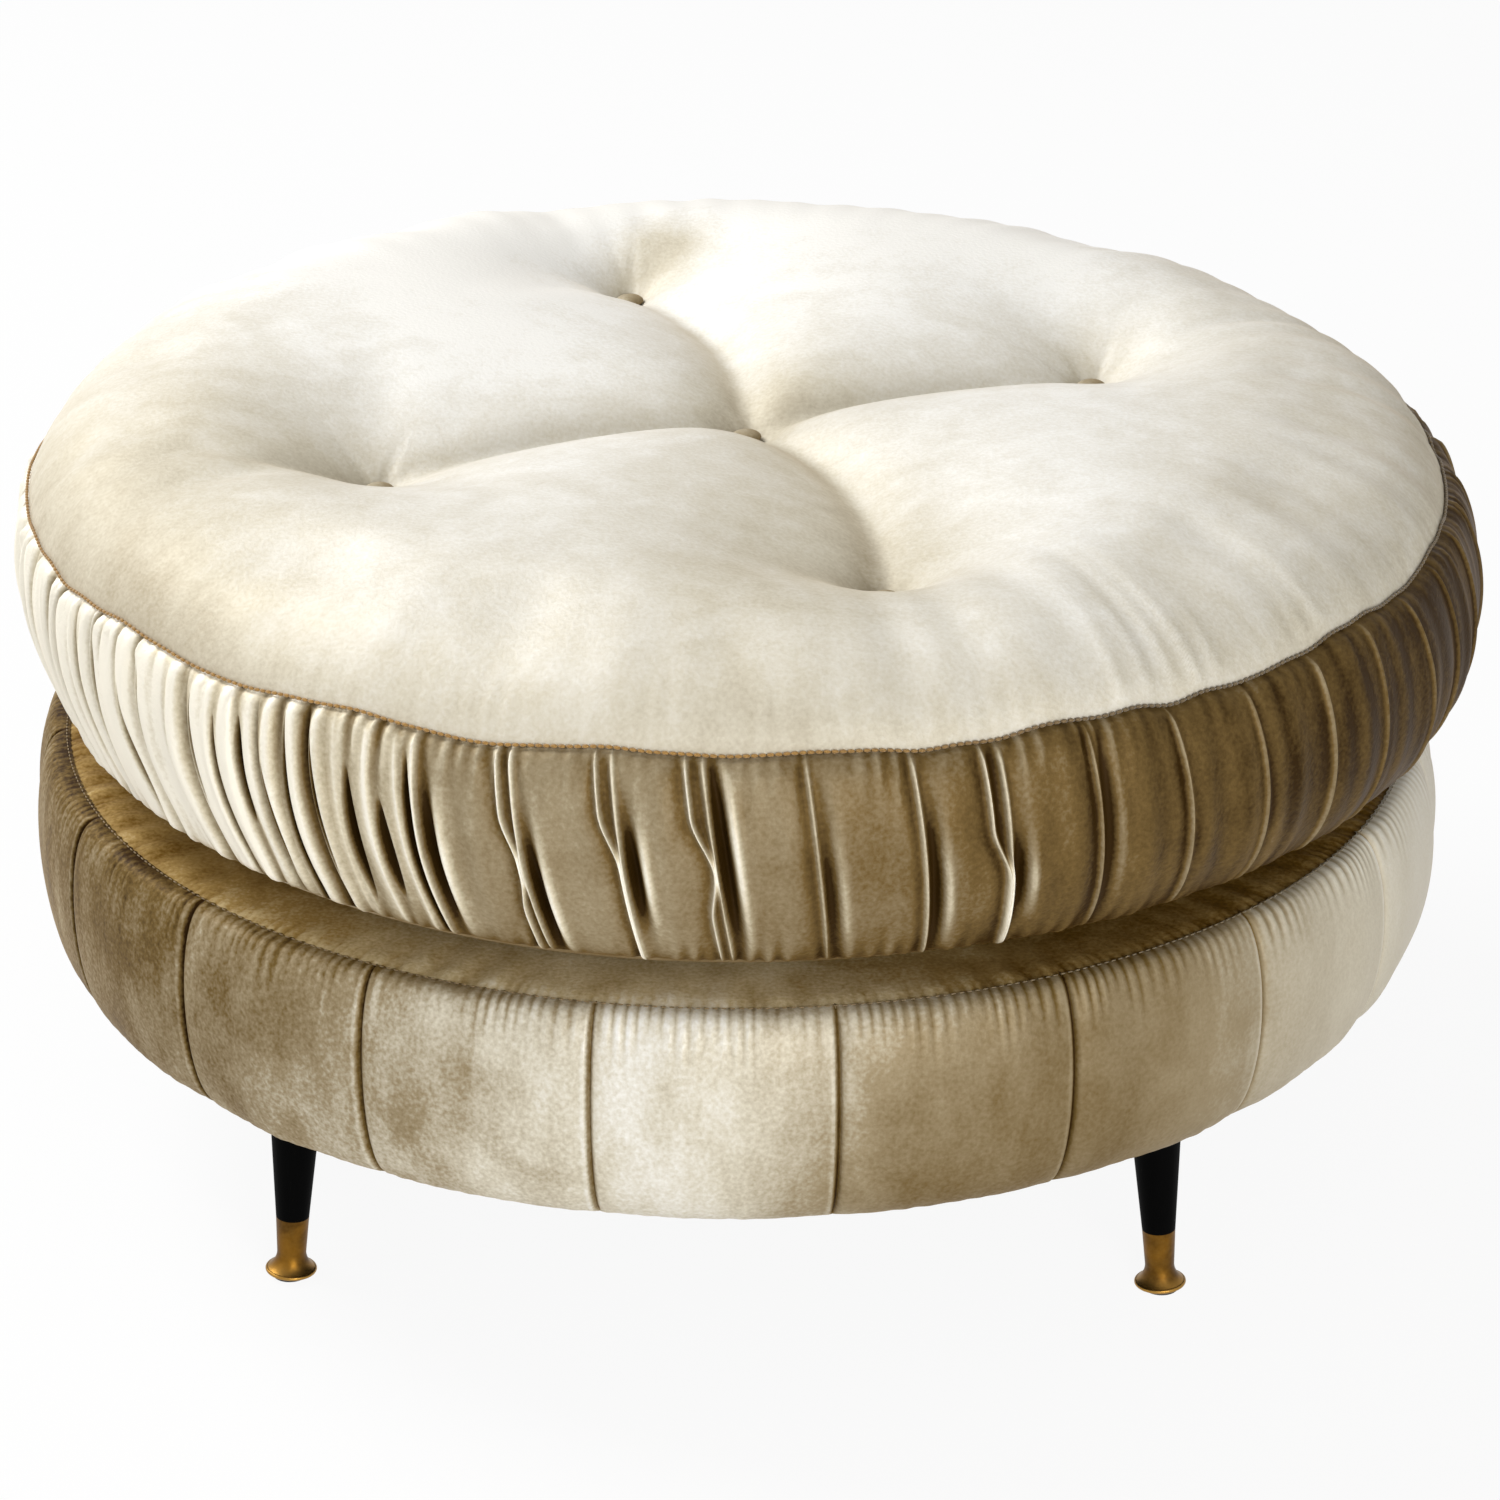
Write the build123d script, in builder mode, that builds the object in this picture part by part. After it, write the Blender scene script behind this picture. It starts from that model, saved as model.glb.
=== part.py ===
from build123d import *
import os
from math import cos, pi, radians, sin, sqrt, tan

# A round velvet pouf: a channelled drum on four splayed legs, with a loose tufted cushion on top.
# Sizes are in millimetres. The floor is z = 0, the middle is x = y = 0, and the front is -Y.

# Clearances
lay_gap = 0.2  # between soft layers that lie against each other
rest_gap = 0.3  # between the loose cushion and the top of the base
slip = 0.2  # round a bolt, screw, peg or twine in its hole

# Base frame
base_clearance = 135  # floor to the dust cover
frame_radius = 396
board_thickness = 18
post_count = 8
post_width = 45
post_depth = 40
post_height = 70.5
post_inset = 8  # post to the edge of the board
ring_thickness = 18
ring_width = 66
hoop_thickness = 4
frame_screw_diameter = 5
frame_screw_head = 9.5
frame_screw_length = 40
countersink_angle = 90

# Base upholstery
dust_cover_thickness = 1
dust_cover_lap = 7  # dust cover beyond the inner edge of the hem
hem_thickness = 3.5
hem_clearance = 1.3  # hem to the leg plates
webbing_width = 60
webbing_thickness = 1.5
webbing_count = 5
webbing_pitch = 95
webbing_inset = 8  # strap corners to the edge of the ring
webbing_fold = 35
deck_pad_thickness = 20
velvet_thickness = 2
side_pad_edge = 8  # pad over the hoop at the bottom edge
base_flare = 6  # top seam outside the bottom edge, in radius
base_bulge = 25
channel_count = 20
channel_depth = 7
channel_edge_depth = 1.5
cover_edge = 3  # velvet with its seam allowance

# Legs
leg_names = ["rear_right", "rear_left", "front_left", "front_right"]
leg_first_angle = 45
leg_splay = 5  # degrees outward
leg_inset = 37.5  # edge of the board to the leg's axis
leg_top_diameter = 34
leg_foot_diameter = 20
spigot_diameter = 12
spigot_length = 18
ferrule_height = 37
ferrule_waist_diameter = 17.5
ferrule_waist_height = 13
ferrule_flange_diameter = 31
ferrule_rim = 2.6
ferrule_lift = 2.2  # flange above the floor, along the leg
glide_diameter = 22
glide_peg_diameter = 7
glide_peg_length = 8
plate_diameter = 50
plate_thickness = 2.5
boss_diameter = 26
boss_height = 3
bolt_diameter = 8
bolt_in_leg = 38
bolt_in_board = 15
plate_screw_count = 4
plate_screw_circle = 38
plate_screw_diameter = 4
plate_screw_head = 7.4
plate_screw_length = 16

# Cushion
bottom_seam_inset = 4.7  # inside the base's top seam
top_seam_overhang = 12.3  # outside the base's top seam
core_inset = 14  # bottom seam to the edge of the foam
rest_inset = 79  # bottom seam to the flat of the cushion's underside
belly_height = 26  # underside to the bottom seam
boxing_height = 130.7
boxing_bulge = 26.5
crown_height = 54  # top seam to the middle of the crown
shoulder_inset = 66  # top seam to the crown's shoulder
shoulder_height = 46
pleat_count = 52
pleat_depth = 5
pleat_edge_depth = 2.5
pleat_lip = 0.16  # share of a pleat that folds back
pleat_sag = 0.25  # share of a pleat's depth at the middle of its face
pleat_slant = 1.7  # degrees from the top seam to the bottom seam

# Tufting
tuft_offset = 6  # middle button right of the cushion's middle
long_line_angle = -71.5  # the three buttons from front to back
long_line_reach = 266  # middle button to an end one
cross_line_angle = 23.8  # the three buttons from side to side
cross_line_reach = 236
tuft_seat = 9  # button's seat above the top seam
tuft_radius = 140
valley_depth = 12
valley_radius = 300
valley_reach = 330
button_diameter = 18
button_height = 6
button_edge = 1.5
twine_diameter = 3
pocket_depth = 9
pocket_radius = 32
under_button_diameter = 30
under_button_thickness = 5

# Levels of the base, from the floor up
z_dust = base_clearance
z_hem = z_dust + dust_cover_thickness
z_board = z_hem + hem_thickness
z_posts = z_board + board_thickness
z_ring = z_posts + post_height
z_webbing = z_ring + ring_thickness
z_deck = z_webbing + 2 * webbing_thickness
z_cover = z_deck + deck_pad_thickness
z_base_top = z_cover + velvet_thickness

# Levels of the cushion
z_rest = z_base_top + rest_gap
z_bottom_seam = z_rest + belly_height
z_top_seam = z_bottom_seam + boxing_height
z_crown = z_top_seam + crown_height
z_tuft = z_top_seam + tuft_seat
z_pocket = z_rest + pocket_depth

# Radii of the base cover
hoop_inner = frame_radius + lay_gap
hoop_outer = hoop_inner + hoop_thickness
base_bottom_radius = hoop_outer + side_pad_edge + cover_edge + channel_edge_depth
base_top_radius = base_bottom_radius + base_flare

# Radii of the cushion, which follows the base under it
bottom_seam_radius = base_top_radius - bottom_seam_inset
top_seam_radius = base_top_radius + top_seam_overhang
core_radius = bottom_seam_radius - core_inset
rest_radius = bottom_seam_radius - rest_inset
shoulder_radius = top_seam_radius - shoulder_inset

section_count = 7  # through the height of each swelling band


def around(radius, degrees, height=0.0):
    """The point at a radius and an angle round the middle of the pouf."""
    return (radius * cos(radians(degrees)), radius * sin(radians(degrees)), height)


def flat_around(radius, degrees):
    return (radius * cos(radians(degrees)), radius * sin(radians(degrees)))


def barrel_sections(bottom_radius, top_radius, bulge, bottom, top):
    """Turn, radius and height of the sections of a band that swells like half an ellipse."""
    sections = []
    for k in range(section_count):
        turn = pi * k / (section_count - 1)
        share = (1 - cos(turn)) / 2
        radius = bottom_radius + (top_radius - bottom_radius) * share + bulge * sin(turn)
        sections.append((turn, radius, bottom + (top - bottom) * share))
    return sections


def revolved_barrel(bottom_radius, middle_radius, top_radius, bottom, top, mode=Mode.ADD):
    """A barrel with one arc for its side, added to or cut from the part being made."""
    with BuildSketch(Plane.XZ) as half:
        with BuildLine():
            ThreePointArc(
                (bottom_radius, bottom), (middle_radius, (bottom + top) / 2), (top_radius, top)
            )
            Polyline((top_radius, top), (0, top), (0, bottom), (bottom_radius, bottom))
        make_face()
    revolve(half.sketch, axis=Axis.Z, mode=mode)


def base_barrel(inset, mode=Mode.ADD):
    """The room inside the base's side cover, drawn in by an inset."""
    middle = (base_bottom_radius + base_top_radius) / 2 + base_bulge - channel_depth
    edge = channel_edge_depth + cover_edge
    revolved_barrel(
        base_bottom_radius - edge - inset,
        middle - cover_edge - inset,
        base_top_radius - edge - inset,
        z_hem,
        z_base_top,
        mode,
    )


def cushion_barrel(inset, mode=Mode.ADD):
    """The room inside the cushion's boxing, drawn in by an inset."""
    middle = (bottom_seam_radius + top_seam_radius) / 2 + boxing_bulge - pleat_depth
    edge = pleat_edge_depth + cover_edge
    revolved_barrel(
        bottom_seam_radius - edge - inset,
        middle - cover_edge - inset,
        top_seam_radius - edge - inset,
        z_bottom_seam,
        z_top_seam,
        mode,
    )


# Leg geometry: each leg's axis leans outward, and lengths along it start at the floor
leg_count = len(leg_names)
leg_angles = [leg_first_angle + 360 / leg_count * i for i in range(leg_count)]
lean = radians(leg_splay)
z_plate = z_board - plate_thickness
board_circle = frame_radius - leg_inset
foot_circle = board_circle + z_board * tan(lean)
plate_circle = foot_circle - z_plate * tan(lean)
boss_face = z_plate / cos(lean) - boss_height
leg_top = boss_face
ferrule_top = ferrule_lift + ferrule_height
hem_inner = plate_circle + plate_diameter / 2 + hem_clearance


def leg_direction(degrees):
    return Vector(*around(-sin(lean), degrees, cos(lean)))


def leg_outward(degrees):
    return Vector(*around(cos(lean), degrees, sin(lean)))


def leg_foot(degrees):
    return Vector(*around(foot_circle, degrees))


def leg_axis(degrees):
    return Axis(leg_foot(degrees), leg_direction(degrees))


def leg_profile_plane(degrees):
    """A plane through the leg's axis: x is outward from the axis, y is along it."""
    outward = leg_outward(degrees)
    return Plane(
        origin=leg_foot(degrees), x_dir=outward, z_dir=outward.cross(leg_direction(degrees))
    )


def leg_square_plane(degrees, along):
    """A plane square to the leg's axis, at a length along it."""
    direction = leg_direction(degrees)
    return Plane(
        origin=leg_foot(degrees) + direction * along, x_dir=leg_outward(degrees), z_dir=direction
    )


def leg_rod(degrees, radius, start, end, mode=Mode.ADD):
    """A round rod or hole on a leg's axis."""
    with BuildSketch(leg_square_plane(degrees, start)) as end_face:
        Circle(radius)
    extrude(end_face.sketch, amount=end - start, mode=mode)


# Points that several pieces share
post_angles = [360 / post_count * (i + 0.5) for i in range(post_count)]
post_middle = frame_radius - post_inset - post_depth / 2
post_points = [flat_around(post_middle, a) for a in post_angles]
plate_points = [flat_around(plate_circle, a) for a in leg_angles]
plate_screw_points = []
for leg_angle, (plate_x, plate_y) in zip(leg_angles, plate_points):
    for i in range(plate_screw_count):
        turn = leg_angle + 360 / plate_screw_count * (i + 0.5)
        screw_x, screw_y = flat_around(plate_screw_circle / 2, turn)
        plate_screw_points.append((plate_x + screw_x, plate_y + screw_y))
tuft_lines = [(long_line_angle, long_line_reach), (cross_line_angle, cross_line_reach)]
tuft_points = [(tuft_offset, 0)]
for line_angle, line_reach in tuft_lines:
    for end in (line_reach, -line_reach):
        end_x, end_y = flat_around(end, line_angle)
        tuft_points.append((tuft_offset + end_x, end_y))


def facing_down(points, height):
    return [Plane(origin=(x, y, height), z_dir=(0, 0, -1)).location for x, y in points]


def facing_up(points, height):
    return [Plane(origin=(x, y, height)).location for x, y in points]


def countersunk_screw(diameter, head, length):
    """A wood screw with its head's face at z = 0 and its point towards -Z."""
    head_depth = (head - diameter) / 2
    point_depth = diameter
    with BuildPart() as screw:
        with BuildSketch(Plane.XZ):
            Polygon(
                (0, 0),
                (head / 2, 0),
                (diameter / 2, -head_depth),
                (diameter / 2, point_depth - length),
                (0, -length),
                align=None,
            )
        revolve(axis=Axis.Z)
    return screw.part


def countersunk_holes(diameter, head):
    """Holes for countersunk screws, at the locations in use."""
    CounterSinkHole(diameter / 2 + slip, head / 2 + slip, counter_sink_angle=countersink_angle)


# Bottom board: round plywood with holes for the leg bolts and the screws
with BuildPart() as bottom_board:
    with BuildSketch(Plane.XY.offset(z_board)):
        Circle(frame_radius)
    extrude(amount=board_thickness)
    for leg_angle in leg_angles:
        leg_rod(leg_angle, bolt_diameter / 2 + slip, leg_top, leg_top + 2 * board_thickness, Mode.SUBTRACT)
    with Locations(*facing_down(post_points, z_board)):
        countersunk_holes(frame_screw_diameter, frame_screw_head)
    with Locations(*facing_down(plate_screw_points, z_board)):
        Hole(plate_screw_diameter / 2 + slip, depth=plate_screw_length)

# Frame posts: timber blocks between the board and the ring
with BuildPart() as frame_posts:
    for post_angle, post_point in zip(post_angles, post_points):
        with BuildSketch(Plane.XY.offset(z_posts)):
            with Locations(Location((*post_point, 0), post_angle)):
                Rectangle(post_depth, post_width)
        extrude(amount=post_height)
    with Locations(*post_points):
        Hole(frame_screw_diameter / 2 + slip)

# Top ring: plywood, screwed down on the posts
with BuildPart() as top_ring:
    with BuildSketch(Plane.XY.offset(z_ring)):
        Circle(frame_radius)
        Circle(frame_radius - ring_width, mode=Mode.SUBTRACT)
    extrude(amount=ring_thickness)
    with Locations(*facing_up(post_points, z_webbing)):
        countersunk_holes(frame_screw_diameter, frame_screw_head)

# Frame screws: up through the board and down through the ring, into each post
frame_screw = countersunk_screw(frame_screw_diameter, frame_screw_head, frame_screw_length)
with BuildPart() as frame_screws:
    with Locations(*facing_down(post_points, z_board)):
        add(frame_screw)
    with Locations(*facing_up(post_points, z_webbing)):
        add(frame_screw)

# Side hoop: thin board bent round the frame
with BuildPart() as side_hoop:
    with BuildSketch(Plane.XY.offset(z_board)):
        Circle(hoop_outer)
        Circle(hoop_inner, mode=Mode.SUBTRACT)
    extrude(amount=z_webbing - z_board)

# Webbing: straps stapled across the ring, one layer each way
strap_reach = frame_radius - webbing_inset
strap_offsets = [webbing_pitch * (i - (webbing_count - 1) / 2) for i in range(webbing_count)]


def strap_half_length(offset):
    return sqrt(strap_reach**2 - (abs(offset) + webbing_width / 2) ** 2)


with BuildPart() as webbing_front_to_back:
    with BuildSketch(Plane.XY.offset(z_webbing)):
        for strap_offset in strap_offsets:
            with Locations((strap_offset, 0)):
                Rectangle(webbing_width, 2 * strap_half_length(strap_offset))
    extrude(amount=webbing_thickness)

with BuildPart() as webbing_side_to_side:
    with BuildSketch(Plane.XY.offset(z_webbing + webbing_thickness)):
        for strap_offset in strap_offsets:
            with Locations((0, strap_offset)):
                Rectangle(2 * strap_half_length(strap_offset), webbing_width)
    extrude(amount=webbing_thickness)
    # The ends are folded under, so they lie on the ring
    with BuildSketch(Plane.XY.offset(z_webbing)):
        for strap_offset in strap_offsets:
            fold_middle = strap_half_length(strap_offset) - webbing_fold / 2
            with Locations((-fold_middle, strap_offset), (fold_middle, strap_offset)):
                Rectangle(webbing_fold, webbing_width)
    extrude(amount=webbing_thickness)

# Deck pad: foam sheet on the webbing
with BuildPart() as deck_pad:
    base_barrel(lay_gap)
    split(bisect_by=Plane.XY.offset(z_deck), keep=Keep.TOP)
    split(bisect_by=Plane.XY.offset(z_cover), keep=Keep.BOTTOM)

# Side pad: foam round the hoop, swelling to the form of the cover
with BuildPart() as side_pad:
    base_barrel(lay_gap)
    split(bisect_by=Plane.XY.offset(z_board), keep=Keep.TOP)
    split(bisect_by=Plane.XY.offset(z_deck), keep=Keep.BOTTOM)
    with BuildSketch(Plane.XY.offset(z_board)):
        Circle(hoop_outer + lay_gap)
    extrude(amount=z_deck - z_board, mode=Mode.SUBTRACT)

# Base side cover: velvet quilted into channels, with its hem turned under the board
channel_half = 180 / channel_count
with BuildPart() as base_side_cover:
    for turn, radius, height in barrel_sections(
        base_bottom_radius, base_top_radius, base_bulge, z_hem, z_base_top
    ):
        depth = channel_edge_depth + (channel_depth - channel_edge_depth) * sin(turn)
        seams = [flat_around(radius - depth, channel_half * (2 * i + 1)) for i in range(channel_count)]
        with BuildSketch(Plane.XY.offset(height)):
            with BuildLine():
                for i in range(channel_count):
                    crest = flat_around(radius, channel_half * (2 * i + 2))
                    ThreePointArc(seams[i], crest, seams[(i + 1) % channel_count])
            make_face()
    loft()
    base_barrel(0, Mode.SUBTRACT)
    with BuildSketch(Plane.XY.offset(z_hem)):
        Circle(base_bottom_radius - channel_edge_depth - cover_edge / 2)
        Circle(hem_inner, mode=Mode.SUBTRACT)
    extrude(amount=hem_thickness)

# Base top cover: flat velvet panel sewn to the side cover
with BuildPart() as base_top_cover:
    base_barrel(lay_gap)
    split(bisect_by=Plane.XY.offset(z_cover), keep=Keep.TOP)

# Dust cover: thin black cloth under the board, open where the legs pass
with BuildPart() as dust_cover:
    with BuildSketch(Plane.XY.offset(z_dust)):
        Circle(hem_inner + dust_cover_lap)
        with Locations(*plate_points):
            Circle(leg_top_diameter / 2 + hem_thickness, mode=Mode.SUBTRACT)
    extrude(amount=dust_cover_thickness)

# Leg plates: steel discs with an angled threaded boss
with BuildPart() as leg_plates:
    with BuildSketch(Plane.XY.offset(z_plate)):
        with Locations(*plate_points):
            Circle(plate_diameter / 2)
    extrude(amount=plate_thickness)
    for leg_angle in leg_angles:
        leg_rod(leg_angle, boss_diameter / 2, boss_face, boss_face + boss_height + plate_thickness / 2)
    for leg_angle in leg_angles:
        leg_rod(leg_angle, bolt_diameter / 2 + slip, boss_face, boss_face + bolt_in_board, Mode.SUBTRACT)
    with Locations(*facing_down(plate_screw_points, z_plate)):
        countersunk_holes(plate_screw_diameter, plate_screw_head)

plate_screw = countersunk_screw(plate_screw_diameter, plate_screw_head, plate_screw_length)
with BuildPart() as leg_plate_screws:
    with Locations(*facing_down(plate_screw_points, z_plate)):
        add(plate_screw)

# Hanger bolts: glued in the legs, screwed through the bosses
with BuildPart() as leg_bolts:
    for leg_angle in leg_angles:
        leg_rod(leg_angle, bolt_diameter / 2, leg_top - bolt_in_leg, leg_top + bolt_in_board)


def make_leg(degrees):
    """A turned, tapered leg with a spigot for its ferrule and a hole for its bolt."""
    with BuildPart() as leg:
        with BuildSketch(leg_profile_plane(degrees)):
            Polygon(
                (0, ferrule_top - spigot_length),
                (spigot_diameter / 2, ferrule_top - spigot_length),
                (spigot_diameter / 2, ferrule_top),
                (leg_foot_diameter / 2, ferrule_top),
                (leg_top_diameter / 2, leg_top),
                (0, leg_top),
                align=None,
            )
        revolve(axis=leg_axis(degrees))
        leg_rod(degrees, bolt_diameter / 2 + slip, leg_top - bolt_in_leg, leg_top, Mode.SUBTRACT)
    return leg.part


def make_ferrule(degrees):
    """A brass ferrule: a tapered socket that flares like a trumpet into a round flange."""
    flange = ferrule_flange_diameter / 2
    waist = ferrule_waist_diameter / 2
    rim_middle = ferrule_lift + ferrule_rim / 2
    rim_top = ferrule_lift + ferrule_rim
    neck = (flange - ferrule_rim / 2, rim_top)
    with BuildPart() as ferrule:
        with BuildSketch(leg_profile_plane(degrees)):
            with BuildLine():
                Line((0, ferrule_lift), (flange - ferrule_rim / 2, ferrule_lift))
                ThreePointArc((flange - ferrule_rim / 2, ferrule_lift), (flange, rim_middle), neck)
                TangentArc((waist, ferrule_lift + ferrule_waist_height), neck, tangent=(0, -1))
                Line((waist, ferrule_lift + ferrule_waist_height), (leg_foot_diameter / 2, ferrule_top))
                Polyline((leg_foot_diameter / 2, ferrule_top), (0, ferrule_top), (0, ferrule_lift))
            make_face()
        revolve(axis=leg_axis(degrees))
        socket_floor = ferrule_top - spigot_length
        leg_rod(degrees, spigot_diameter / 2 + slip, socket_floor, ferrule_top, Mode.SUBTRACT)
        peg_hole_end = ferrule_lift + glide_peg_length + slip
        leg_rod(degrees, glide_peg_diameter / 2 + slip, ferrule_lift, peg_hole_end, Mode.SUBTRACT)
    return ferrule.part


def make_glide(degrees):
    """A nylon glide with a peg in the ferrule, worn flat to the floor."""
    with BuildPart() as glide:
        leg_rod(degrees, glide_diameter / 2, -ferrule_lift, ferrule_lift)
        leg_rod(degrees, glide_peg_diameter / 2, 0, ferrule_lift + glide_peg_length)
        split(bisect_by=Plane.XY, keep=Keep.TOP)
    return glide.part


# Cushion core: a thick disc of foam, with holes for the twine
twine_hole = twine_diameter / 2 + slip
with BuildPart() as cushion_core:
    with BuildSketch(Plane.XY.offset(z_bottom_seam)):
        Circle(core_radius)
    extrude(amount=boxing_height)
    with Locations(*tuft_points):
        Hole(twine_hole)

# Side wadding: fibre wrapped round the core
with BuildPart() as cushion_side_wadding:
    cushion_barrel(lay_gap)
    with BuildSketch(Plane.XY.offset(z_bottom_seam)):
        Circle(core_radius + lay_gap)
    extrude(amount=boxing_height, mode=Mode.SUBTRACT)

# Cushion boxing: the velvet side band, laid in slanting knife pleats between its two seams
pleat_pitch = 360 / pleat_count
with BuildPart() as cushion_boxing:
    for turn, radius, height in barrel_sections(
        bottom_seam_radius, top_seam_radius, boxing_bulge, z_bottom_seam, z_top_seam
    ):
        depth = pleat_edge_depth + (pleat_depth - pleat_edge_depth) * sin(turn)
        slant = pleat_slant * (1 + cos(turn)) / 2
        lips = [flat_around(radius, slant + pleat_pitch * i) for i in range(pleat_count)]
        with BuildSketch(Plane.XY.offset(height)):
            with BuildLine():
                for i in range(pleat_count):
                    start = slant + pleat_pitch * i
                    face = pleat_pitch * (1 - pleat_lip)
                    face_middle = flat_around(radius - depth * pleat_sag, start + face / 2)
                    crease = flat_around(radius - depth, start + face)
                    ThreePointArc(lips[i], face_middle, crease)
                    Line(crease, lips[(i + 1) % pleat_count])
            make_face()
    loft()
    cushion_barrel(0, Mode.SUBTRACT)


def tufted_crown(inset):
    """The plump top of the cushion, drawn in by an inset: a dome with five tufts and two valleys."""
    top = z_crown - inset
    shoulder = (shoulder_radius, z_top_seam + shoulder_height - inset)
    seat = z_tuft - inset
    with BuildPart() as crown:
        with BuildSketch(Plane.XZ):
            with BuildLine():
                dome = TangentArc((0, top), shoulder, tangent=(1, 0))
                TangentArc(shoulder, (top_seam_radius - inset, z_top_seam), tangent=dome % 1)
                Polyline((top_seam_radius - inset, z_top_seam), (0, z_top_seam), (0, top))
            make_face()
        revolve(axis=Axis.Z)
        # Valleys: shallow barrels laid along the two lines of buttons
        for line_angle, _ in tuft_lines:
            along = Vector(*around(1, line_angle))
            middle = Vector(tuft_offset, 0, top + valley_radius - valley_depth)
            with BuildSketch(Plane(origin=middle, x_dir=along, z_dir=along.cross(Vector(0, 0, 1)))):
                with BuildLine():
                    ThreePointArc(
                        (-valley_reach, valley_depth - valley_radius),
                        (0, -valley_radius),
                        (valley_reach, valley_depth - valley_radius),
                    )
                    Polyline(
                        (valley_reach, valley_depth - valley_radius),
                        (valley_reach, 0),
                        (-valley_reach, 0),
                        (-valley_reach, valley_depth - valley_radius),
                    )
                make_face()
            revolve(axis=Axis(middle, along), mode=Mode.SUBTRACT)
        # Tufts: the cover rises steeply from each button and levels out on the dome
        for x, y in tuft_points:
            with BuildSketch(Plane(origin=(x, y, 0), x_dir=(1, 0, 0), z_dir=(0, -1, 0))):
                with BuildLine():
                    TangentArc((tuft_radius, top), (button_diameter / 2, seat), tangent=(-1, 0))
                    Polyline(
                        (button_diameter / 2, seat),
                        (0, seat),
                        (0, top + valley_depth),
                        (tuft_radius, top + valley_depth),
                        (tuft_radius, top),
                    )
                make_face()
            revolve(axis=Axis((x, y, 0), (0, 0, 1)), mode=Mode.SUBTRACT)
        with Locations(*tuft_points):
            Hole(twine_hole)
    return crown.part


# Top wadding and top cover: the same crown, one inside the other
with BuildPart() as cushion_top_wadding:
    add(tufted_crown(cover_edge + lay_gap))

with BuildPart() as cushion_top_cover:
    add(tufted_crown(0))
    add(tufted_crown(cover_edge), mode=Mode.SUBTRACT)


def belly(inset):
    """The underside of the cushion, drawn in by an inset: flat where it rests, round up to the seam."""
    bottom = z_rest + inset
    with BuildPart() as bowl:
        with BuildSketch(Plane.XZ):
            with BuildLine():
                seam = (bottom_seam_radius - inset, z_bottom_seam)
                TangentArc((rest_radius, bottom), seam, tangent=(1, 0))
                Polyline(
                    seam,
                    (0, z_bottom_seam),
                    (0, bottom),
                    (rest_radius, bottom),
                )
            make_face()
        revolve(axis=Axis.Z)
        # Pockets that the buttons underneath are drawn into
        for x, y in tuft_points:
            with BuildSketch(Plane(origin=(x, y, 0), x_dir=(1, 0, 0), z_dir=(0, -1, 0))):
                Polygon(
                    (0, bottom),
                    (pocket_radius + inset, bottom),
                    (under_button_diameter / 2 + inset, z_pocket + inset),
                    (0, z_pocket + inset),
                    align=None,
                )
            revolve(axis=Axis((x, y, 0), (0, 0, 1)), mode=Mode.SUBTRACT)
        with Locations(*tuft_points):
            Hole(twine_hole)
    return bowl.part


with BuildPart() as cushion_bottom_wadding:
    add(belly(velvet_thickness + lay_gap))

with BuildPart() as cushion_bottom_cover:
    add(belly(0))
    add(belly(velvet_thickness), mode=Mode.SUBTRACT)

# Buttons: covered domes on top, flat discs underneath, tied through the core
with BuildPart() as button:
    with BuildSketch(Plane.XZ):
        with BuildLine():
            rim = (button_diameter / 2, button_edge)
            Polyline((0, button_height), (0, 0), (button_diameter / 2, 0), rim)
            TangentArc((0, button_height), rim, tangent=(1, 0))
        make_face()
    revolve(axis=Axis.Z)

with BuildPart() as tuft_buttons:
    with Locations(*facing_up(tuft_points, z_tuft)):
        add(button.part)

with BuildPart() as underside_buttons:
    with BuildSketch(Plane.XY.offset(z_pocket)):
        with Locations(*tuft_points):
            Circle(under_button_diameter / 2)
    extrude(amount=-under_button_thickness)

with BuildPart() as tufting_twine:
    with BuildSketch(Plane.XY.offset(z_pocket)):
        with Locations(*tuft_points):
            Circle(twine_diameter / 2)
    extrude(amount=z_tuft - z_pocket)

# Every piece under its name
pieces = {
    "bottom_board": bottom_board.part,
    "frame_posts": frame_posts.part,
    "top_ring": top_ring.part,
    "frame_screws": frame_screws.part,
    "side_hoop": side_hoop.part,
    "webbing_front_to_back": webbing_front_to_back.part,
    "webbing_side_to_side": webbing_side_to_side.part,
    "deck_pad": deck_pad.part,
    "side_pad": side_pad.part,
    "base_side_cover": base_side_cover.part,
    "base_top_cover": base_top_cover.part,
    "dust_cover": dust_cover.part,
    "leg_plates": leg_plates.part,
    "leg_plate_screws": leg_plate_screws.part,
    "leg_bolts": leg_bolts.part,
    "cushion_core": cushion_core.part,
    "cushion_side_wadding": cushion_side_wadding.part,
    "cushion_top_wadding": cushion_top_wadding.part,
    "cushion_bottom_wadding": cushion_bottom_wadding.part,
    "cushion_boxing": cushion_boxing.part,
    "cushion_top_cover": cushion_top_cover.part,
    "cushion_bottom_cover": cushion_bottom_cover.part,
    "tuft_buttons": tuft_buttons.part,
    "underside_buttons": underside_buttons.part,
    "tufting_twine": tufting_twine.part,
}
for leg_angle, leg_name in zip(leg_angles, leg_names):
    pieces["leg_" + leg_name] = make_leg(leg_angle)
    pieces["ferrule_" + leg_name] = make_ferrule(leg_angle)
    pieces["floor_glide_" + leg_name] = make_glide(leg_angle)

os.makedirs("parts", exist_ok=True)
for name, piece in pieces.items():
    piece.label = name
    export_step(piece, "parts/" + name + ".step")
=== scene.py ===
from math import cos, pi, radians, sin, tau

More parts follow.
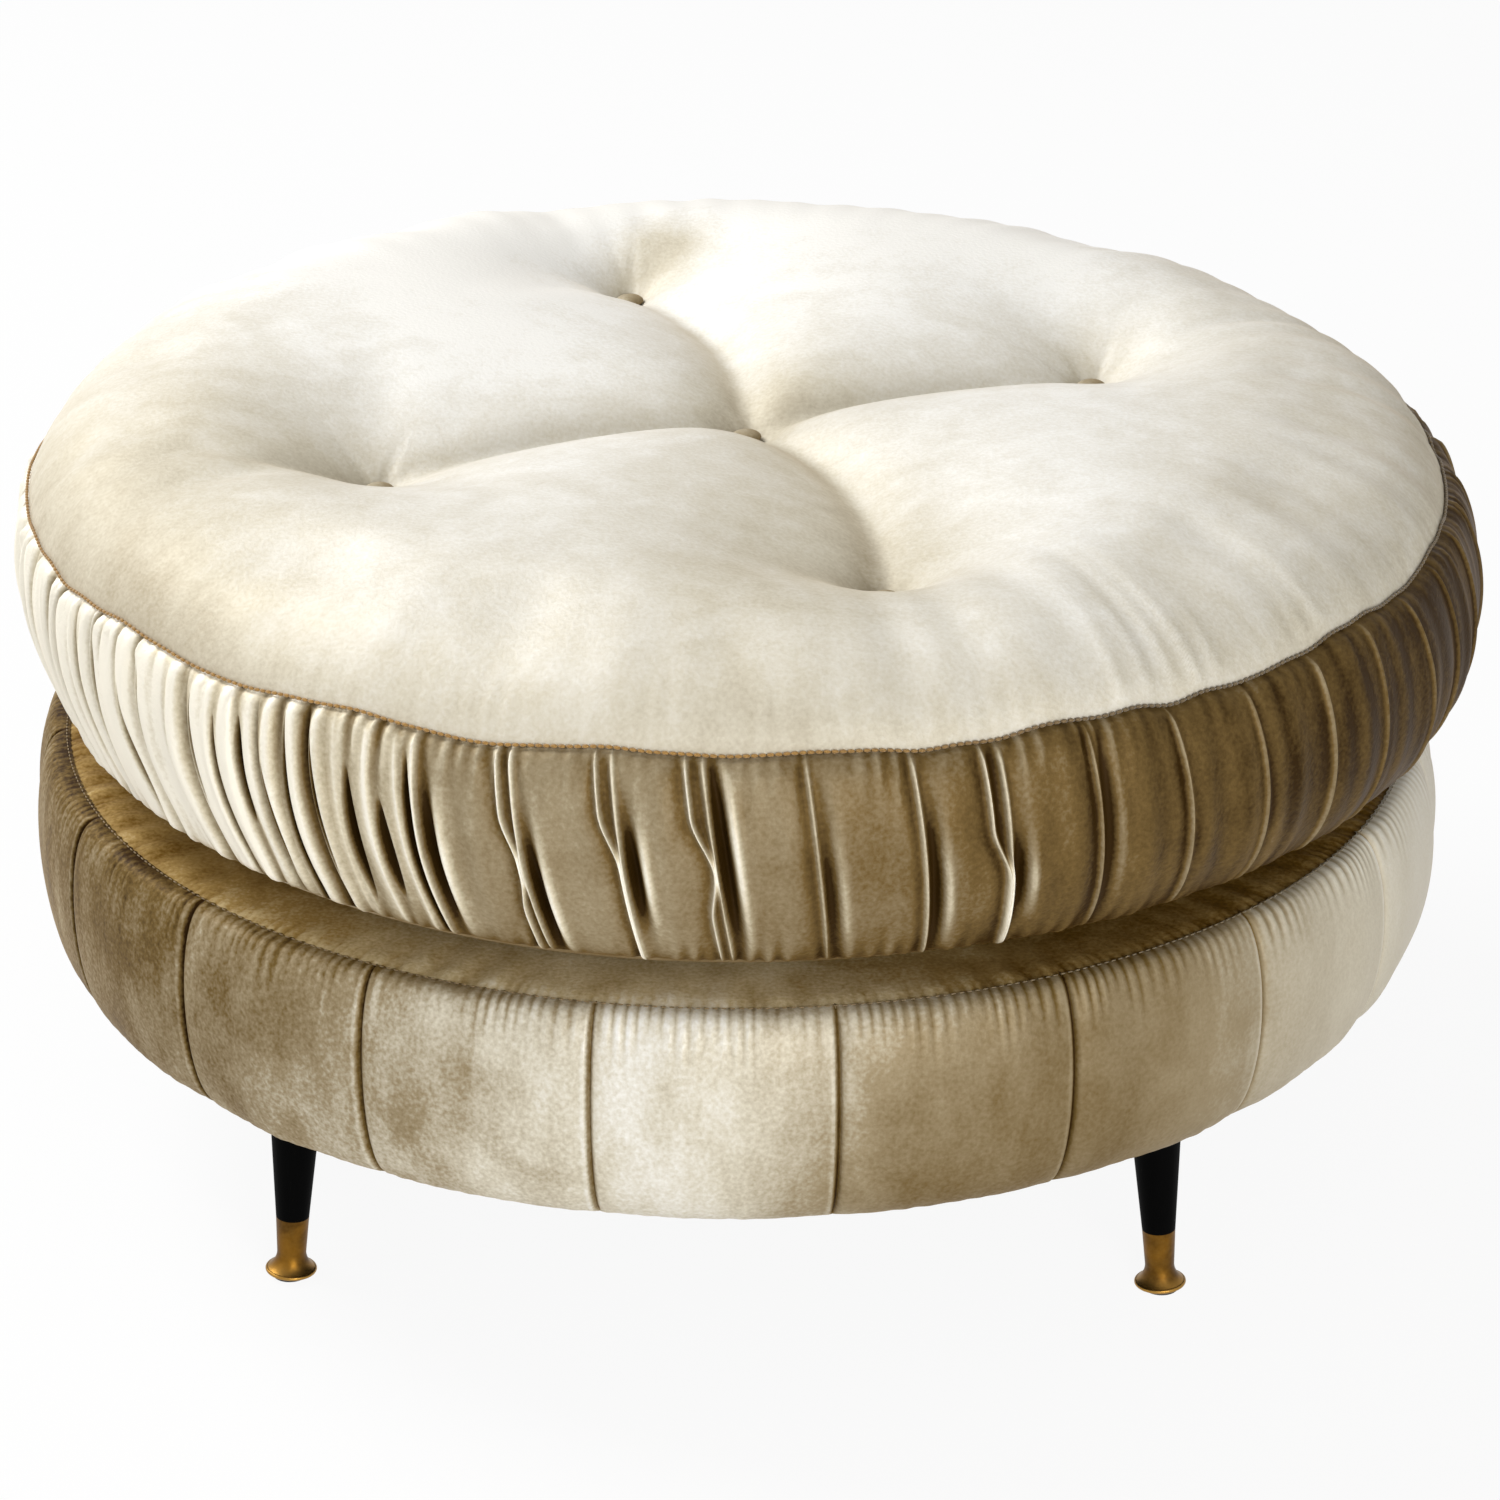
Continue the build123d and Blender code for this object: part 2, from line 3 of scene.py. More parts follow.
import bpy
import numpy as np
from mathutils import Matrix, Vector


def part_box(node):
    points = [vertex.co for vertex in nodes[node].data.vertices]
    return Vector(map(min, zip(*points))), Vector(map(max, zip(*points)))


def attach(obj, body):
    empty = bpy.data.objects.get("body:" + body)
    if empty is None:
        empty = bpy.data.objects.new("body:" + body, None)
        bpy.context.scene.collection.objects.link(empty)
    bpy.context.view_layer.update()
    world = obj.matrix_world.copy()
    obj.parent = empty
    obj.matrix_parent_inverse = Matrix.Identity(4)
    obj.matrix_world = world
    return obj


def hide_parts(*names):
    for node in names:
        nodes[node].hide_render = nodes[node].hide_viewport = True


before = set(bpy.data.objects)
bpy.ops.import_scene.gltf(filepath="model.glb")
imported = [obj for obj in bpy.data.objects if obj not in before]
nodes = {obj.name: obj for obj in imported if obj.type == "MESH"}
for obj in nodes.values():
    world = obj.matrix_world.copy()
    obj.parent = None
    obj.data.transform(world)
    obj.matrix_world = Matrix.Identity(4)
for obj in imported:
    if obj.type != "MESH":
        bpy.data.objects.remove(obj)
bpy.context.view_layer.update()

mm = 0.001


# Timber frame: a round plywood board, eight posts and a plywood ring, with a thin ply hoop bent round them.
# The parts are cut from sheet, glued and screwed, and the upholstery hides them all.
class Shade:
    """A value or colour among a material's nodes. Arithmetic on it adds Math nodes."""

    def __init__(self, tree, socket):
        self.tree = tree
        self.socket = socket

    def node(self, kind, settings, sockets, output=0):
        """Adds a node: its settings come first, then each socket gets a value or a link."""
        made = self.tree.nodes.new(kind)
        for name, setting in settings.items():
            if name == "stops":
                ramp = made.color_ramp.elements
                while len(ramp) < len(setting):
                    ramp.new(0.5)
                for stop, (position, colour) in zip(ramp, setting):
                    stop.position = position
                    stop.color = colour
            else:
                setattr(made, name, setting)
        for key, value in sockets.items():
            if isinstance(value, Shade):
                self.tree.links.new(value.socket, made.inputs[key])
            else:
                made.inputs[key].default_value = value
        return Shade(self.tree, made.outputs[output]) if made.outputs else None

    def maths(self, operation, first, second=0.0):
        return self.node("ShaderNodeMath", {"operation": operation}, {0: first, 1: second})

    def __add__(self, other):
        return self.maths("ADD", self, other)

    def __radd__(self, other):
        return self.maths("ADD", other, self)

    def __sub__(self, other):
        return self.maths("SUBTRACT", self, other)

    def __rsub__(self, other):
        return self.maths("SUBTRACT", other, self)

    def __mul__(self, other):
        return self.maths("MULTIPLY", self, other)

    def __rmul__(self, other):
        return self.maths("MULTIPLY", other, self)

    def mix(self, first, second):
        """A colour between two colours, by this value."""
        return self.node("ShaderNodeMix", {"data_type": "RGBA"}, {0: self, 6: first, 7: second}, output=2)

    def between(self, low, high):
        """This value's place between low and high, from 0 to 1, eased at both ends."""
        sockets = {"Value": self, "From Min": low, "From Max": high}
        return self.node("ShaderNodeMapRange", {"interpolation_type": "SMOOTHSTEP"}, sockets)

    def stretched(self, x, y, z):
        return self.node("ShaderNodeMapping", {}, {"Vector": self, "Scale": (x, y, z)})

    def noise(self, size, detail=2.0, warp=0.0):
        """Cloudy variation from 0 to 1, with patches of about this size in metres."""
        sockets = {"Vector": self, "Scale": 0.5 / size, "Detail": detail, "Distortion": warp}
        return self.node("ShaderNodeTexNoise", {}, sockets)

    def part(self, axis):
        return self.node("ShaderNodeSeparateXYZ", {}, {0: self}, output="XYZ".index(axis))


def colour(red, green, blue):
    """A colour as it looks on a screen, from 0 to 255, made linear for the shader."""
    linear = []
    for level in (red, green, blue):
        share = level / 255
        linear.append(share / 12.92 if share <= 0.04045 else ((share + 0.055) / 1.055) ** 2.4)
    return (*linear, 1.0)


def new_finish(name):
    """Starts a material, and gives it with its object coordinates."""
    material = bpy.data.materials.new(name)
    material.use_nodes = True
    material.node_tree.nodes.clear()
    coordinates = material.node_tree.nodes.new("ShaderNodeTexCoord")
    return material, Shade(material.node_tree, coordinates.outputs["Object"])


def close_finish(place, sockets, relief=None, depth=0.0):
    """Ends a material in one Principled surface, with relief of that depth in metres if given."""
    if relief is not None:
        sockets["Normal"] = place.node("ShaderNodeBump", {}, {"Height": relief, "Distance": depth})
    surface = place.node("ShaderNodeBsdfPrincipled", {}, sockets)
    place.node("ShaderNodeOutputMaterial", {}, {"Surface": surface})


def finish_nodes(material, names):
    """Gives CAD nodes, left as they are, a better material."""
    for name in names:
        for held in nodes[name].material_slots:
            held.material = material


plywood, place = new_finish("plywood")
grain = place.stretched(1, 14, 14).noise(40 * mm, detail=5, warp=0.8)
plies = place.stretched(0.05, 0.05, 1).noise(1.6 * mm, detail=0)
timber = (grain * 0.7 + plies * 0.3).between(0.3, 0.7)
close_finish(
    place,
    {
        "Base Color": timber.mix(colour(166, 132, 90), colour(214, 186, 146)),
        "Roughness": 0.55 + grain * 0.2,
    },
    relief=grain,
    depth=0.3 * mm,
)
finish_nodes(plywood, ["bottom_board", "frame_posts", "top_ring", "side_hoop"])


# Fixings: countersunk wood screws, pressed steel leg plates and hanger bolts, all zinc plated.
# The screws join the frame, and a plate and a bolt hold each leg at its splay.
zinc, place = new_finish("zinc plate")
spangle = place.noise(3 * mm, detail=3)
close_finish(
    place,
    {
        "Base Color": spangle.mix(colour(168, 170, 172), colour(205, 204, 198)),
        "Metallic": 1.0,
        "Roughness": 0.3 + spangle * 0.2,
    },
    relief=spangle,
    depth=0.05 * mm,
)
finish_nodes(zinc, ["frame_screws", "leg_plates", "leg_plate_screws", "leg_bolts"])


# Webbing: broad woven straps stapled across the frame's ring in two directions, which carry the deck.
# They are plain brown jute in a close weave.
jute, place = new_finish("jute webbing")
thread_pitch = 2.4 * mm
across = place.maths("SINE", place.part("X") * (tau / thread_pitch))
along = place.maths("SINE", place.part("Y") * (tau / thread_pitch))
weave = across * along * 0.5 + 0.5
fibre = place.noise(5 * mm, detail=4)
close_finish(
    place,
    {
        "Base Color": (weave * 0.6 + fibre * 0.4).mix(colour(82, 64, 44), colour(158, 132, 98)),
        "Roughness": 0.8 + fibre * 0.15,
    },
    relief=weave,
    depth=0.4 * mm,
)
finish_nodes(jute, ["webbing_front_to_back", "webbing_side_to_side"])


# Legs: four turned and tapered hardwood legs, screwed up into the angled plates so that they splay.
# They are sprayed with black lacquer that has a low satin shine.
lacquer, place = new_finish("black lacquer")
brush = place.stretched(1, 1, 0.15).noise(4 * mm, detail=3)
close_finish(
    place,
    {
        "Base Color": brush.mix(colour(2, 2, 2), colour(6, 6, 6)),
        "Roughness": 0.5 + brush * 0.12,
        "Specular IOR Level": 0.02,
    },
    relief=brush,
    depth=0.08 * mm,
)
corners = ["rear_right", "rear_left", "front_left", "front_right"]
finish_nodes(lacquer, ["leg_" + corner for corner in corners])


# Ferrules: turned brass feet, waisted above a round flange, pushed over each leg's end.
# The brass has aged: it is dull and brown, and its rim is rubbed bright.
brass, place = new_finish("aged brass")
tarnish = place.noise(12 * mm, detail=5, warp=0.5)
specks = place.noise(1.5 * mm, detail=3)
height = place.part("Z")
worn = (height * -1).between(-11 * mm, -3 * mm) * 0.5 + specks * 0.2
brown_brass = tarnish.between(0.35, 0.7).mix(colour(62, 36, 5), colour(116, 78, 18))
close_finish(
    place,
    {
        "Base Color": worn.mix(brown_brass, colour(196, 152, 78)),
        "Metallic": 1.0,
        "Roughness": 0.42 - worn * 0.18 + tarnish * 0.12,
    },
    relief=specks,
    depth=0.06 * mm,
)
finish_nodes(brass, ["ferrule_" + corner for corner in corners])


# Floor glides: small nylon discs pressed into the ferrules, so that the brass doesn't mark the floor.
# They are dark moulded nylon, scuffed underneath.
nylon, place = new_finish("dark nylon")
scuffs = place.noise(2 * mm, detail=4)
close_finish(
    place,
    {"Base Color": scuffs.mix(colour(38, 35, 32), colour(66, 62, 58)), "Roughness": 0.5 + scuffs * 0.3},
    relief=scuffs,
    depth=0.1 * mm,
)
finish_nodes(nylon, ["floor_glide_" + corner for corner in corners])


# Base side: twenty velvet panels sewn edge to edge and drawn tight over a foam band on the hoop.
# Each panel swells a little between its seams, and puckers where it is gathered into the top seam.
rng = np.random.default_rng(7)


def points_of(piece):
    points = np.empty(len(piece.data.vertices) * 3)
    piece.data.vertices.foreach_get("co", points)
    return points.reshape(-1, 3)


def move_points(piece, points):
    piece.data.vertices.foreach_set("co", points.ravel())
    piece.data.update()


def wrapped_cloth(name, columns, rows, shape):
    """A fine grid of cloth laid to a shape, which gives x, y, z and painted shading from u and v between 0
    and 1.
    """
    bpy.ops.object.select_all(action="DESELECT")
    bpy.ops.mesh.primitive_grid_add(x_subdivisions=columns, y_subdivisions=rows, size=1)
    cloth = bpy.context.object
    cloth.name = name
    cloth.data.name = name
    flat = points_of(cloth)
    x, y, z, fold = shape(flat[:, 0] + 0.5, flat[:, 1] + 0.5)
    move_points(cloth, np.column_stack((x, y, z)))
    painted_shading_layer = cloth.data.attributes.new("fold", "FLOAT", "POINT")
    painted_shading_layer.data.foreach_set("value", np.clip(fold, -1.6, 1).astype(np.float32))
    bpy.ops.object.mode_set(mode="EDIT")
    bpy.ops.mesh.select_all(action="SELECT")
    bpy.ops.mesh.remove_doubles(threshold=0.02 * mm)
    bpy.ops.mesh.normals_make_consistent(inside=False)
    bpy.ops.object.mode_set(mode="OBJECT")
    bpy.ops.object.shade_smooth()
    return cloth


def ring_point(angle, radius, height):
    """A point on a circle: the angle starts at the front and turns to the right."""
    return radius * np.sin(angle), -radius * np.cos(angle), height


def ripples(low, high, waves=14):
    """Uneven ripples round a ring as a function of the angle, with low to high crests in a turn."""
    counts = rng.integers(low, high, waves)
    starts = rng.uniform(0, tau, waves)

    def height(angle):
        return sum(np.cos(count * angle + begin) for count, begin in zip(counts, starts)) / np.sqrt(waves)

    return height


def eased(share):
    """A smooth step from 0 to 1."""
    clipped = np.clip(share, 0, 1)
    return clipped * clipped * (3 - 2 * clipped)


def bell(offset):
    """A bump that is 1 high in its middle and fades out at about 2."""
    return np.exp(-(offset ** 2))


def closer_at_ends(step):
    """Moves even steps from 0 to 1 closer together at both ends."""
    return 0.6 * step + 0.4 * (1 - np.cos(pi * step)) / 2


base_low, base_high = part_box("base_side_cover")
base_hem_height = base_low.z
base_seam_height = base_high.z
base_height = base_seam_height - base_hem_height
base_bulge = 25 * mm
base_bottom_radius = 412.7 * mm
base_seam_radius = 418.7 * mm
dust_cover_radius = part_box("dust_cover")[1].x
hem_inner_radius = dust_cover_radius - 7 * mm
hem_share = 0.06  # of the rows, under the base
channel_count = 20
channel_columns = 84
base_rows = 52
channel_swell = 3.0 * mm
seam_groove = 4 * mm
seam_groove_width = 1.3 * mm
seam_lip = 0.6 * mm  # the panel's edge left of each seam, pressed up by the turning behind it
seam_lip_place = 3 * mm
seam_lip_width = 1.4 * mm
top_tuck = 2.2 * mm  # how far the top seam pulls the velvet in
top_tuck_reach = 1.6 * mm
dent_height = 0.7 * mm
base_pucker_height = 0.9 * mm
hem_pucker_height = 0.35 * mm
hem_pucker_reach = 9 * mm
highlight_angle = radians(15)  # where a painted highlight makes the velvet below the top seam pale
highlight_width = radians(10)
gather_count = 380  # in the whole top seam
gather_drift = ripples(12, 50)
gather_swing = ripples(10, 40)
gather_reach = ripples(40, 110)
hem_gathers = ripples(120, 260)
soft_dents = ripples(10, 60)


def seam_gathers(angle):
    """The fine gathers along the base's top seam: uneven, and weaker at the sides than at the front."""
    rightward = np.sin(angle)
    strength = np.clip(0.85 + 0.4 * gather_swing(angle), 0.25, 1.5)
    strength = strength * (0.78 + 0.15 * rightward - 0.25 * rightward ** 2)
    groove = (0.5 + 0.5 * np.cos(gather_count * angle + 2.5 * gather_drift(angle))) ** 2
    return strength * (0.7 - 2 * groove)


def base_side_shape(u, v):
    column = np.rint(u * channel_count * channel_columns)
    channel = np.floor_divide(column, channel_columns)
    step = np.mod(column, channel_columns) / channel_columns
    across_panel = closer_at_ends(step)
    angle = (channel + across_panel - 0.5) / channel_count * tau
    turn = np.clip((v - hem_share) / (1 - hem_share), 0, 1)
    under = np.clip(1 - v / hem_share, 0, 1)
    height = base_hem_height + base_height * (1 - np.cos(pi * turn)) / 2
    edge = base_bottom_radius + (base_seam_radius - base_bottom_radius) * turn
    squareness = 1 - 0.3 * np.clip(-np.sin(angle), 0, 1)  # the padding is fuller at the left
    bulge = base_bulge * np.sin(pi * turn) ** squareness
    radius = edge + bulge - (base_bottom_radius - hem_inner_radius) * under
    panel_width = tau * base_seam_radius / channel_count
    before_seam = (1 - across_panel) * panel_width
    to_seam = np.minimum(across_panel * panel_width, before_seam)
    below_seam = base_seam_height - height
    side = eased(turn / 0.12) * eased((1 - turn) / 0.05)
    swell = channel_swell * np.abs(2 * across_panel - 1) ** 3
    groove = seam_groove * np.exp(-to_seam / seam_groove_width)
    lip = bell((before_seam - seam_lip_place) / seam_lip_width) * side
    reach = np.maximum(15 + 7 * gather_reach(angle), 5) * mm
    puckers = base_pucker_height * seam_gathers(angle) * bell(below_seam / reach)
    puckers = puckers * eased(to_seam / (6 * mm))
    hem_fade = np.exp(-(height - base_hem_height) / hem_pucker_reach) * (1 - under)
    hem_puckers = hem_pucker_height * hem_gathers(angle) * hem_fade
    dents = dent_height * soft_dents(angle) * side
    radius = radius - (swell + groove) * side + puckers + hem_puckers + dents + seam_lip * lip
    tuck = top_tuck * np.exp(-below_seam / top_tuck_reach)
    # A painted highlight: the velvet just below the top seam is painted paler near the front
    painted_highlight = turn ** 2.5 * bell((angle - highlight_angle) / highlight_width)
    # Painted shading: highlights on the puckers and the seam lips, shade in the seam grooves and under the
    # top seam
    fold = puckers / (1.4 * mm) - 1.7 * side * groove / seam_groove - 0.4 * np.exp(-below_seam / (3 * mm))
    fold = fold + 0.9 * painted_highlight + 0.6 * lip
    return *ring_point(angle, radius - tuck, height - 0.6 * tuck), fold


sheen_place_reach = 450 * mm  # the painted sheen's places lie within this far of the middle
velvet_tones = [
    (0.0, colour(48, 29, 2)),
    (0.25, colour(110, 88, 47)),
    (0.5, colour(157, 141, 111)),
    (0.75, colour(213, 205, 185)),
    (1.0, colour(248, 246, 240)),
]


def velvet(
    name,
    sheen_by_place,
    tones=velvet_tones,
    mottle=0.45,
    calm=0.0,
    facing_shade=0.15,
    shine=0.5,
    painted_shading_strength=0.3,
    back_light=0.0,
    quarter_light=0.0,
):
    """Champagne velvet: golden brown to cream, with sheen, light and shade painted into its colour.

    Its sheen by place gives painted sheen and shade: how pale the velvet is painted at places from left to
    right. Cloudy pressed patches change it by mottle, and less towards the right with calm. The cloth's
    painted shading, painted shade in creases and painted highlights on ridges, changes it by the painted
    shading strength. Facing shade paints surfaces that face right darker and those that face left paler.
    Back light paints it paler towards the back, and quarter light towards two opposite quarters.
    """
    material, place = new_finish(name)
    crushed = place.noise(34 * mm, detail=5, warp=1.0).between(0.3, 0.7)
    brushed = place.stretched(1, 1, 0.35).noise(9 * mm, detail=4, warp=0.4)
    pile = place.noise(1.3 * mm, detail=2)
    fold = place.node("ShaderNodeAttribute", {"attribute_name": "fold"}, {}, output=2)
    normal = place.node("ShaderNodeNewGeometry", {}, {}, output=1)
    lie = place.part("X") * (0.5 / sheen_place_reach) + 0.5
    stops = [(x * 0.5 / sheen_place_reach + 0.5, (pale, pale, pale, 1.0)) for x, pale in sheen_by_place]
    # Painted sheen and shade: how pale the velvet is painted at each place from left to right
    painted_sheen = place.node("ShaderNodeValToRGB", {"stops": stops}, {"Fac": lie})
    clouds = (crushed - 0.5) * 0.3 + (brushed - 0.5) * 0.7 + (pile - 0.5) * 0.8
    clouds = clouds * mottle * (1 - place.part("X") * calm)
    # Painted light: paler towards the back and towards two opposite quarters
    painted_place_light = place.part("Y") * back_light - place.part("X") * place.part("Y") * quarter_light
    # Painted shade on surfaces that face right, painted light on those that face left
    paleness = 1.0 * painted_sheen + clouds + fold * painted_shading_strength - normal.part("X") * facing_shade + painted_place_light
    tone = place.node("ShaderNodeValToRGB", {"stops": tones}, {"Fac": paleness})
    close_finish(
        place,
        {
            "Base Color": tone,
            "Roughness": shine + (crushed - 0.5) * 0.1,
            "Specular IOR Level": 0.05,
            "Metallic": 0.15,
            "Sheen Weight": 0.1,
            "Sheen Roughness": 0.35,
            "Sheen Tint": colour(214, 164, 90),
        },
        relief=pile * 0.6 + brushed * 0.3,
        depth=0.5 * mm,
    )
    return material


# Painted sheen and shade round the base, from left to right
base_sheen_by_place = [
    (-0.44, 0.17),
    (-0.34, 0.20),
    (-0.26, 0.36),
    (-0.16, 0.54),
    (-0.02, 0.83),
    (0.05, 0.58),
    (0.11, 0.34),
    (0.23, 0.42),
    (0.33, 0.74),
    (0.42, 0.95),
]
base_velvet = velvet("base velvet", base_sheen_by_place, mottle=0.36, calm=1.8)
base_side = wrapped_cloth("base_side", channel_count * channel_columns, base_rows, base_side_shape)
base_side.data.materials.append(base_velvet)
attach(base_side, "base")
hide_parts("base_side_cover", "side_pad")


# Base top: a round velvet panel over a flat foam deck, sewn to the side panels at the rim.
# Its rim shows as a ledge round the cushion, and is drawn into small radiating gathers by the seam.
deck_columns = 1600
deck_rows = 36
deck_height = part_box("base_top_cover")[1].z
broad_gathers = ripples(60, 130)
fine_reach = 11 * mm
broad_reach = 28 * mm
deck_pucker_height = 0.6 * mm
deck_tuck = 2.6 * mm
deck_tuck_reach = 2.5 * mm


def base_top_shape(u, v):
    angle = u * tau
    radius = v ** 0.6 * (base_seam_radius - 0.9 * mm)  # rows closer together towards the rim
    from_seam = base_seam_radius - radius
    fine = seam_gathers(angle) * bell(from_seam / fine_reach)
    broad = broad_gathers(angle) * bell(from_seam / broad_reach) * eased(from_seam / (4 * mm))
    tuck = deck_tuck * np.exp(-from_seam / deck_tuck_reach)
    height = deck_height - 0.9 * mm - tuck + deck_pucker_height * (fine + broad)
    # Painted shading: highlights on the gathers, and the ledge painted paler towards the seam, out of the
    # cushion's shadow
    fold = 0.4 * fine + 0.15 * broad + 0.4 * np.exp(-from_seam / (20 * mm))
    return *ring_point(angle, radius, np.minimum(height, deck_height + 0.4 * mm)), fold


# Painted sheen and shade round the ledge, from left to right
deck_sheen_by_place = [(-0.42, 0.20), (-0.30, 0.38), (-0.15, 0.66), (0.0, 0.74), (0.20, 0.32), (0.42, 0.18)]
deck_shade_tones = [  # warmer than elsewhere: painted warm shade under the cushion
    (0.0, colour(48, 29, 2)),
    (0.25, colour(112, 82, 28)),
    (0.5, colour(166, 138, 84)),
    (0.75, colour(216, 198, 156)),
    (1.0, colour(248, 240, 220)),
]
deck_velvet = velvet("deck velvet", deck_sheen_by_place, tones=deck_shade_tones)
base_top = wrapped_cloth("base_top", deck_columns, deck_rows, base_top_shape)
base_top.data.materials.append(deck_velvet)
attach(base_top, "base")
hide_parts("base_top_cover", "deck_pad")


# Base seam thread: a row of small lockstitches laid in the groove between the top panel and the sides.
# It is heavy cotton thread, sewn through both velvets and the tape behind them.
base_stitch_count = 560


def stitched_ring(name, radius, height, count, length, thickness):
    """A ring of stitches: one rounded stitch, repeated along a circle."""
    bpy.ops.object.select_all(action="DESELECT")
    bpy.ops.curve.primitive_bezier_circle_add(radius=radius)
    line = bpy.context.object
    line.data.resolution_u = 64
    bpy.ops.mesh.primitive_uv_sphere_add(segments=6, ring_count=6, radius=0.5)
    stitch = bpy.context.object
    stitch.name = name
    stitch.data.name = name
    stitch.scale = (length, thickness, thickness)
    bpy.ops.object.transform_apply(location=False, rotation=False, scale=True)
    row = stitch.modifiers.new("row", "ARRAY")
    row.count = count
    row.use_relative_offset = False
    row.use_constant_offset = True
    row.constant_offset_displace = (tau * radius / count, 0, 0)
    bend = stitch.modifiers.new("bend", "CURVE")
    bend.object = line
    bpy.ops.object.modifier_apply(modifier=row.name)
    bpy.ops.object.modifier_apply(modifier=bend.name)
    bpy.data.objects.remove(line)
    bpy.ops.object.mode_set(mode="EDIT")
    bpy.ops.mesh.select_all(action="SELECT")
    bpy.ops.mesh.normals_make_consistent(inside=False)
    bpy.ops.object.mode_set(mode="OBJECT")
    bpy.ops.object.shade_smooth()
    points = points_of(stitch)
    points[:, 2] += height
    move_points(stitch, points)
    return stitch


def thread_finish(name, dark, light, right_shade_dark, right_shade_light):
    """Twisted sewing thread, with a second pair of colours towards the right as painted shade."""
    material, place = new_finish(name)
    twist = place.noise(0.8 * mm, detail=2)
    rightward = place.part("X").between(0, 250 * mm)
    # Painted shade: the second pair of colours takes over towards the right
    shade = rightward.mix(twist.mix(dark, light), twist.mix(right_shade_dark, right_shade_light))
    sockets = {"Base Color": shade, "Roughness": 0.5 + twist * 0.2, "Sheen Weight": 0.3}
    close_finish(place, sockets, relief=twist, depth=0.2 * mm)
    return material


base_thread = stitched_ring(
    "base_seam_thread",
    radius=base_seam_radius - 0.2 * mm,
    height=base_seam_height - 0.5 * mm,
    count=base_stitch_count,
    length=3.4 * mm,
    thickness=0.8 * mm,
)
pale_thread = thread_finish(
    "pale thread", colour(104, 81, 42), colour(152, 128, 82), colour(104, 88, 58), colour(146, 130, 98)
)
base_thread.data.materials.append(pale_thread)
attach(base_thread, "base")


# Dust cover: a thin black cloth stretched under the base and turned in at its edge, with a hole per leg.
# It is a non-woven cloth, stapled to the bottom board, and it sags a hair between its staples.
dust_low, dust_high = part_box("dust_cover")
dust_height = (dust_low.z + dust_high.z) / 2
leg_circle = 358.9 * mm
leg_hole_radius = 20.5 * mm
leg_angles = [radians(45 + 90 * number) for number in range(4)]
leg_places = [(leg_circle * cos(angle), leg_circle * sin(angle)) for angle in leg_angles]
staple_count = 72
dust_sag = ripples(20, 60)


def dust_shape(u, v):
    angle = -u * tau
    sag = 0.35 * mm * eased((1 - v) / 0.1) * (1 + 0.4 * dust_sag(angle) * v)
    return *ring_point(angle, dust_cover_radius * v, dust_height - sag), np.zeros_like(u)


dust_cover = wrapped_cloth("dust_cover_sheet", 320, 64, dust_shape)
bpy.ops.object.mode_set(mode="EDIT")
bpy.ops.mesh.select_all(action="DESELECT")
bpy.ops.mesh.select_mode(type="VERT")
bpy.ops.object.mode_set(mode="OBJECT")
dust_points = points_of(dust_cover)
in_hole = np.zeros(len(dust_points), bool)
for leg_x, leg_y in leg_places:
    in_hole |= np.hypot(dust_points[:, 0] - leg_x, dust_points[:, 1] - leg_y) < leg_hole_radius - 3 * mm
dust_cover.data.vertices.foreach_set("select", in_hole)
bpy.ops.object.mode_set(mode="EDIT")
bpy.ops.mesh.delete(type="VERT")
bpy.ops.object.mode_set(mode="OBJECT")
dust_points = points_of(dust_cover)
for leg_x, leg_y in leg_places:
    away = dust_points[:, :2] - (leg_x, leg_y)
    distance = np.linalg.norm(away, axis=1, keepdims=True)
    at_rim = distance < leg_hole_radius + 2.5 * mm
    rim = np.where(at_rim, leg_hole_radius / np.maximum(distance, 1 * mm), 1.0)
    dust_points[:, :2] = away * rim + (leg_x, leg_y)
move_points(dust_cover, dust_points)
dust_cloth, place = new_finish("black dust cloth")
felted = place.noise(1.2 * mm, detail=4)
close_finish(
    place,
    {"Base Color": felted.mix(colour(14, 14, 15), colour(38, 37, 38)), "Roughness": 0.85 + felted * 0.1},
    relief=felted,
    depth=0.2 * mm,
)
dust_cover.data.materials.append(dust_cloth)
staples = stitched_ring(
    "dust_cover_staples",
    radius=dust_cover_radius - 9 * mm,
    height=dust_low.z - 0.1 * mm,
    count=staple_count,
    length=11 * mm,
    thickness=1 * mm,
)
staples.data.materials.append(zinc)
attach(staples, "base")
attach(dust_cover, "base")
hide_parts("dust_cover")


# Cushion core: a thick round of upholstery foam, with five holes for the tufting twine.
# It is cut from pale open-cell foam and never seen once the cushion is covered.
foam, place = new_finish("cushion foam")
cells = place.noise(1.4 * mm, detail=2)
foam_colour = cells.mix(colour(214, 202, 160), colour(240, 232, 200))
close_finish(
    place,
    {"Base Color": foam_colour, "Roughness": 0.85 + cells * 0.1},
    relief=cells,
    depth=0.5 * mm,
)
finish_nodes(foam, ["cushion_core"])


# Tufting twine: waxed linen cords pulled through the core from each top button to one underneath.
# They are twisted from two strands, and hidden inside the cushion.
twine, place = new_finish("waxed twine")
twist = place.stretched(1, 1, 3).noise(1 * mm, detail=1)
close_finish(
    place,
    {"Base Color": twist.mix(colour(176, 164, 136), colour(222, 212, 186)), "Roughness": 0.6 + twist * 0.2},
    relief=twist,
    depth=0.3 * mm,
)
finish_nodes(twine, ["tufting_twine"])


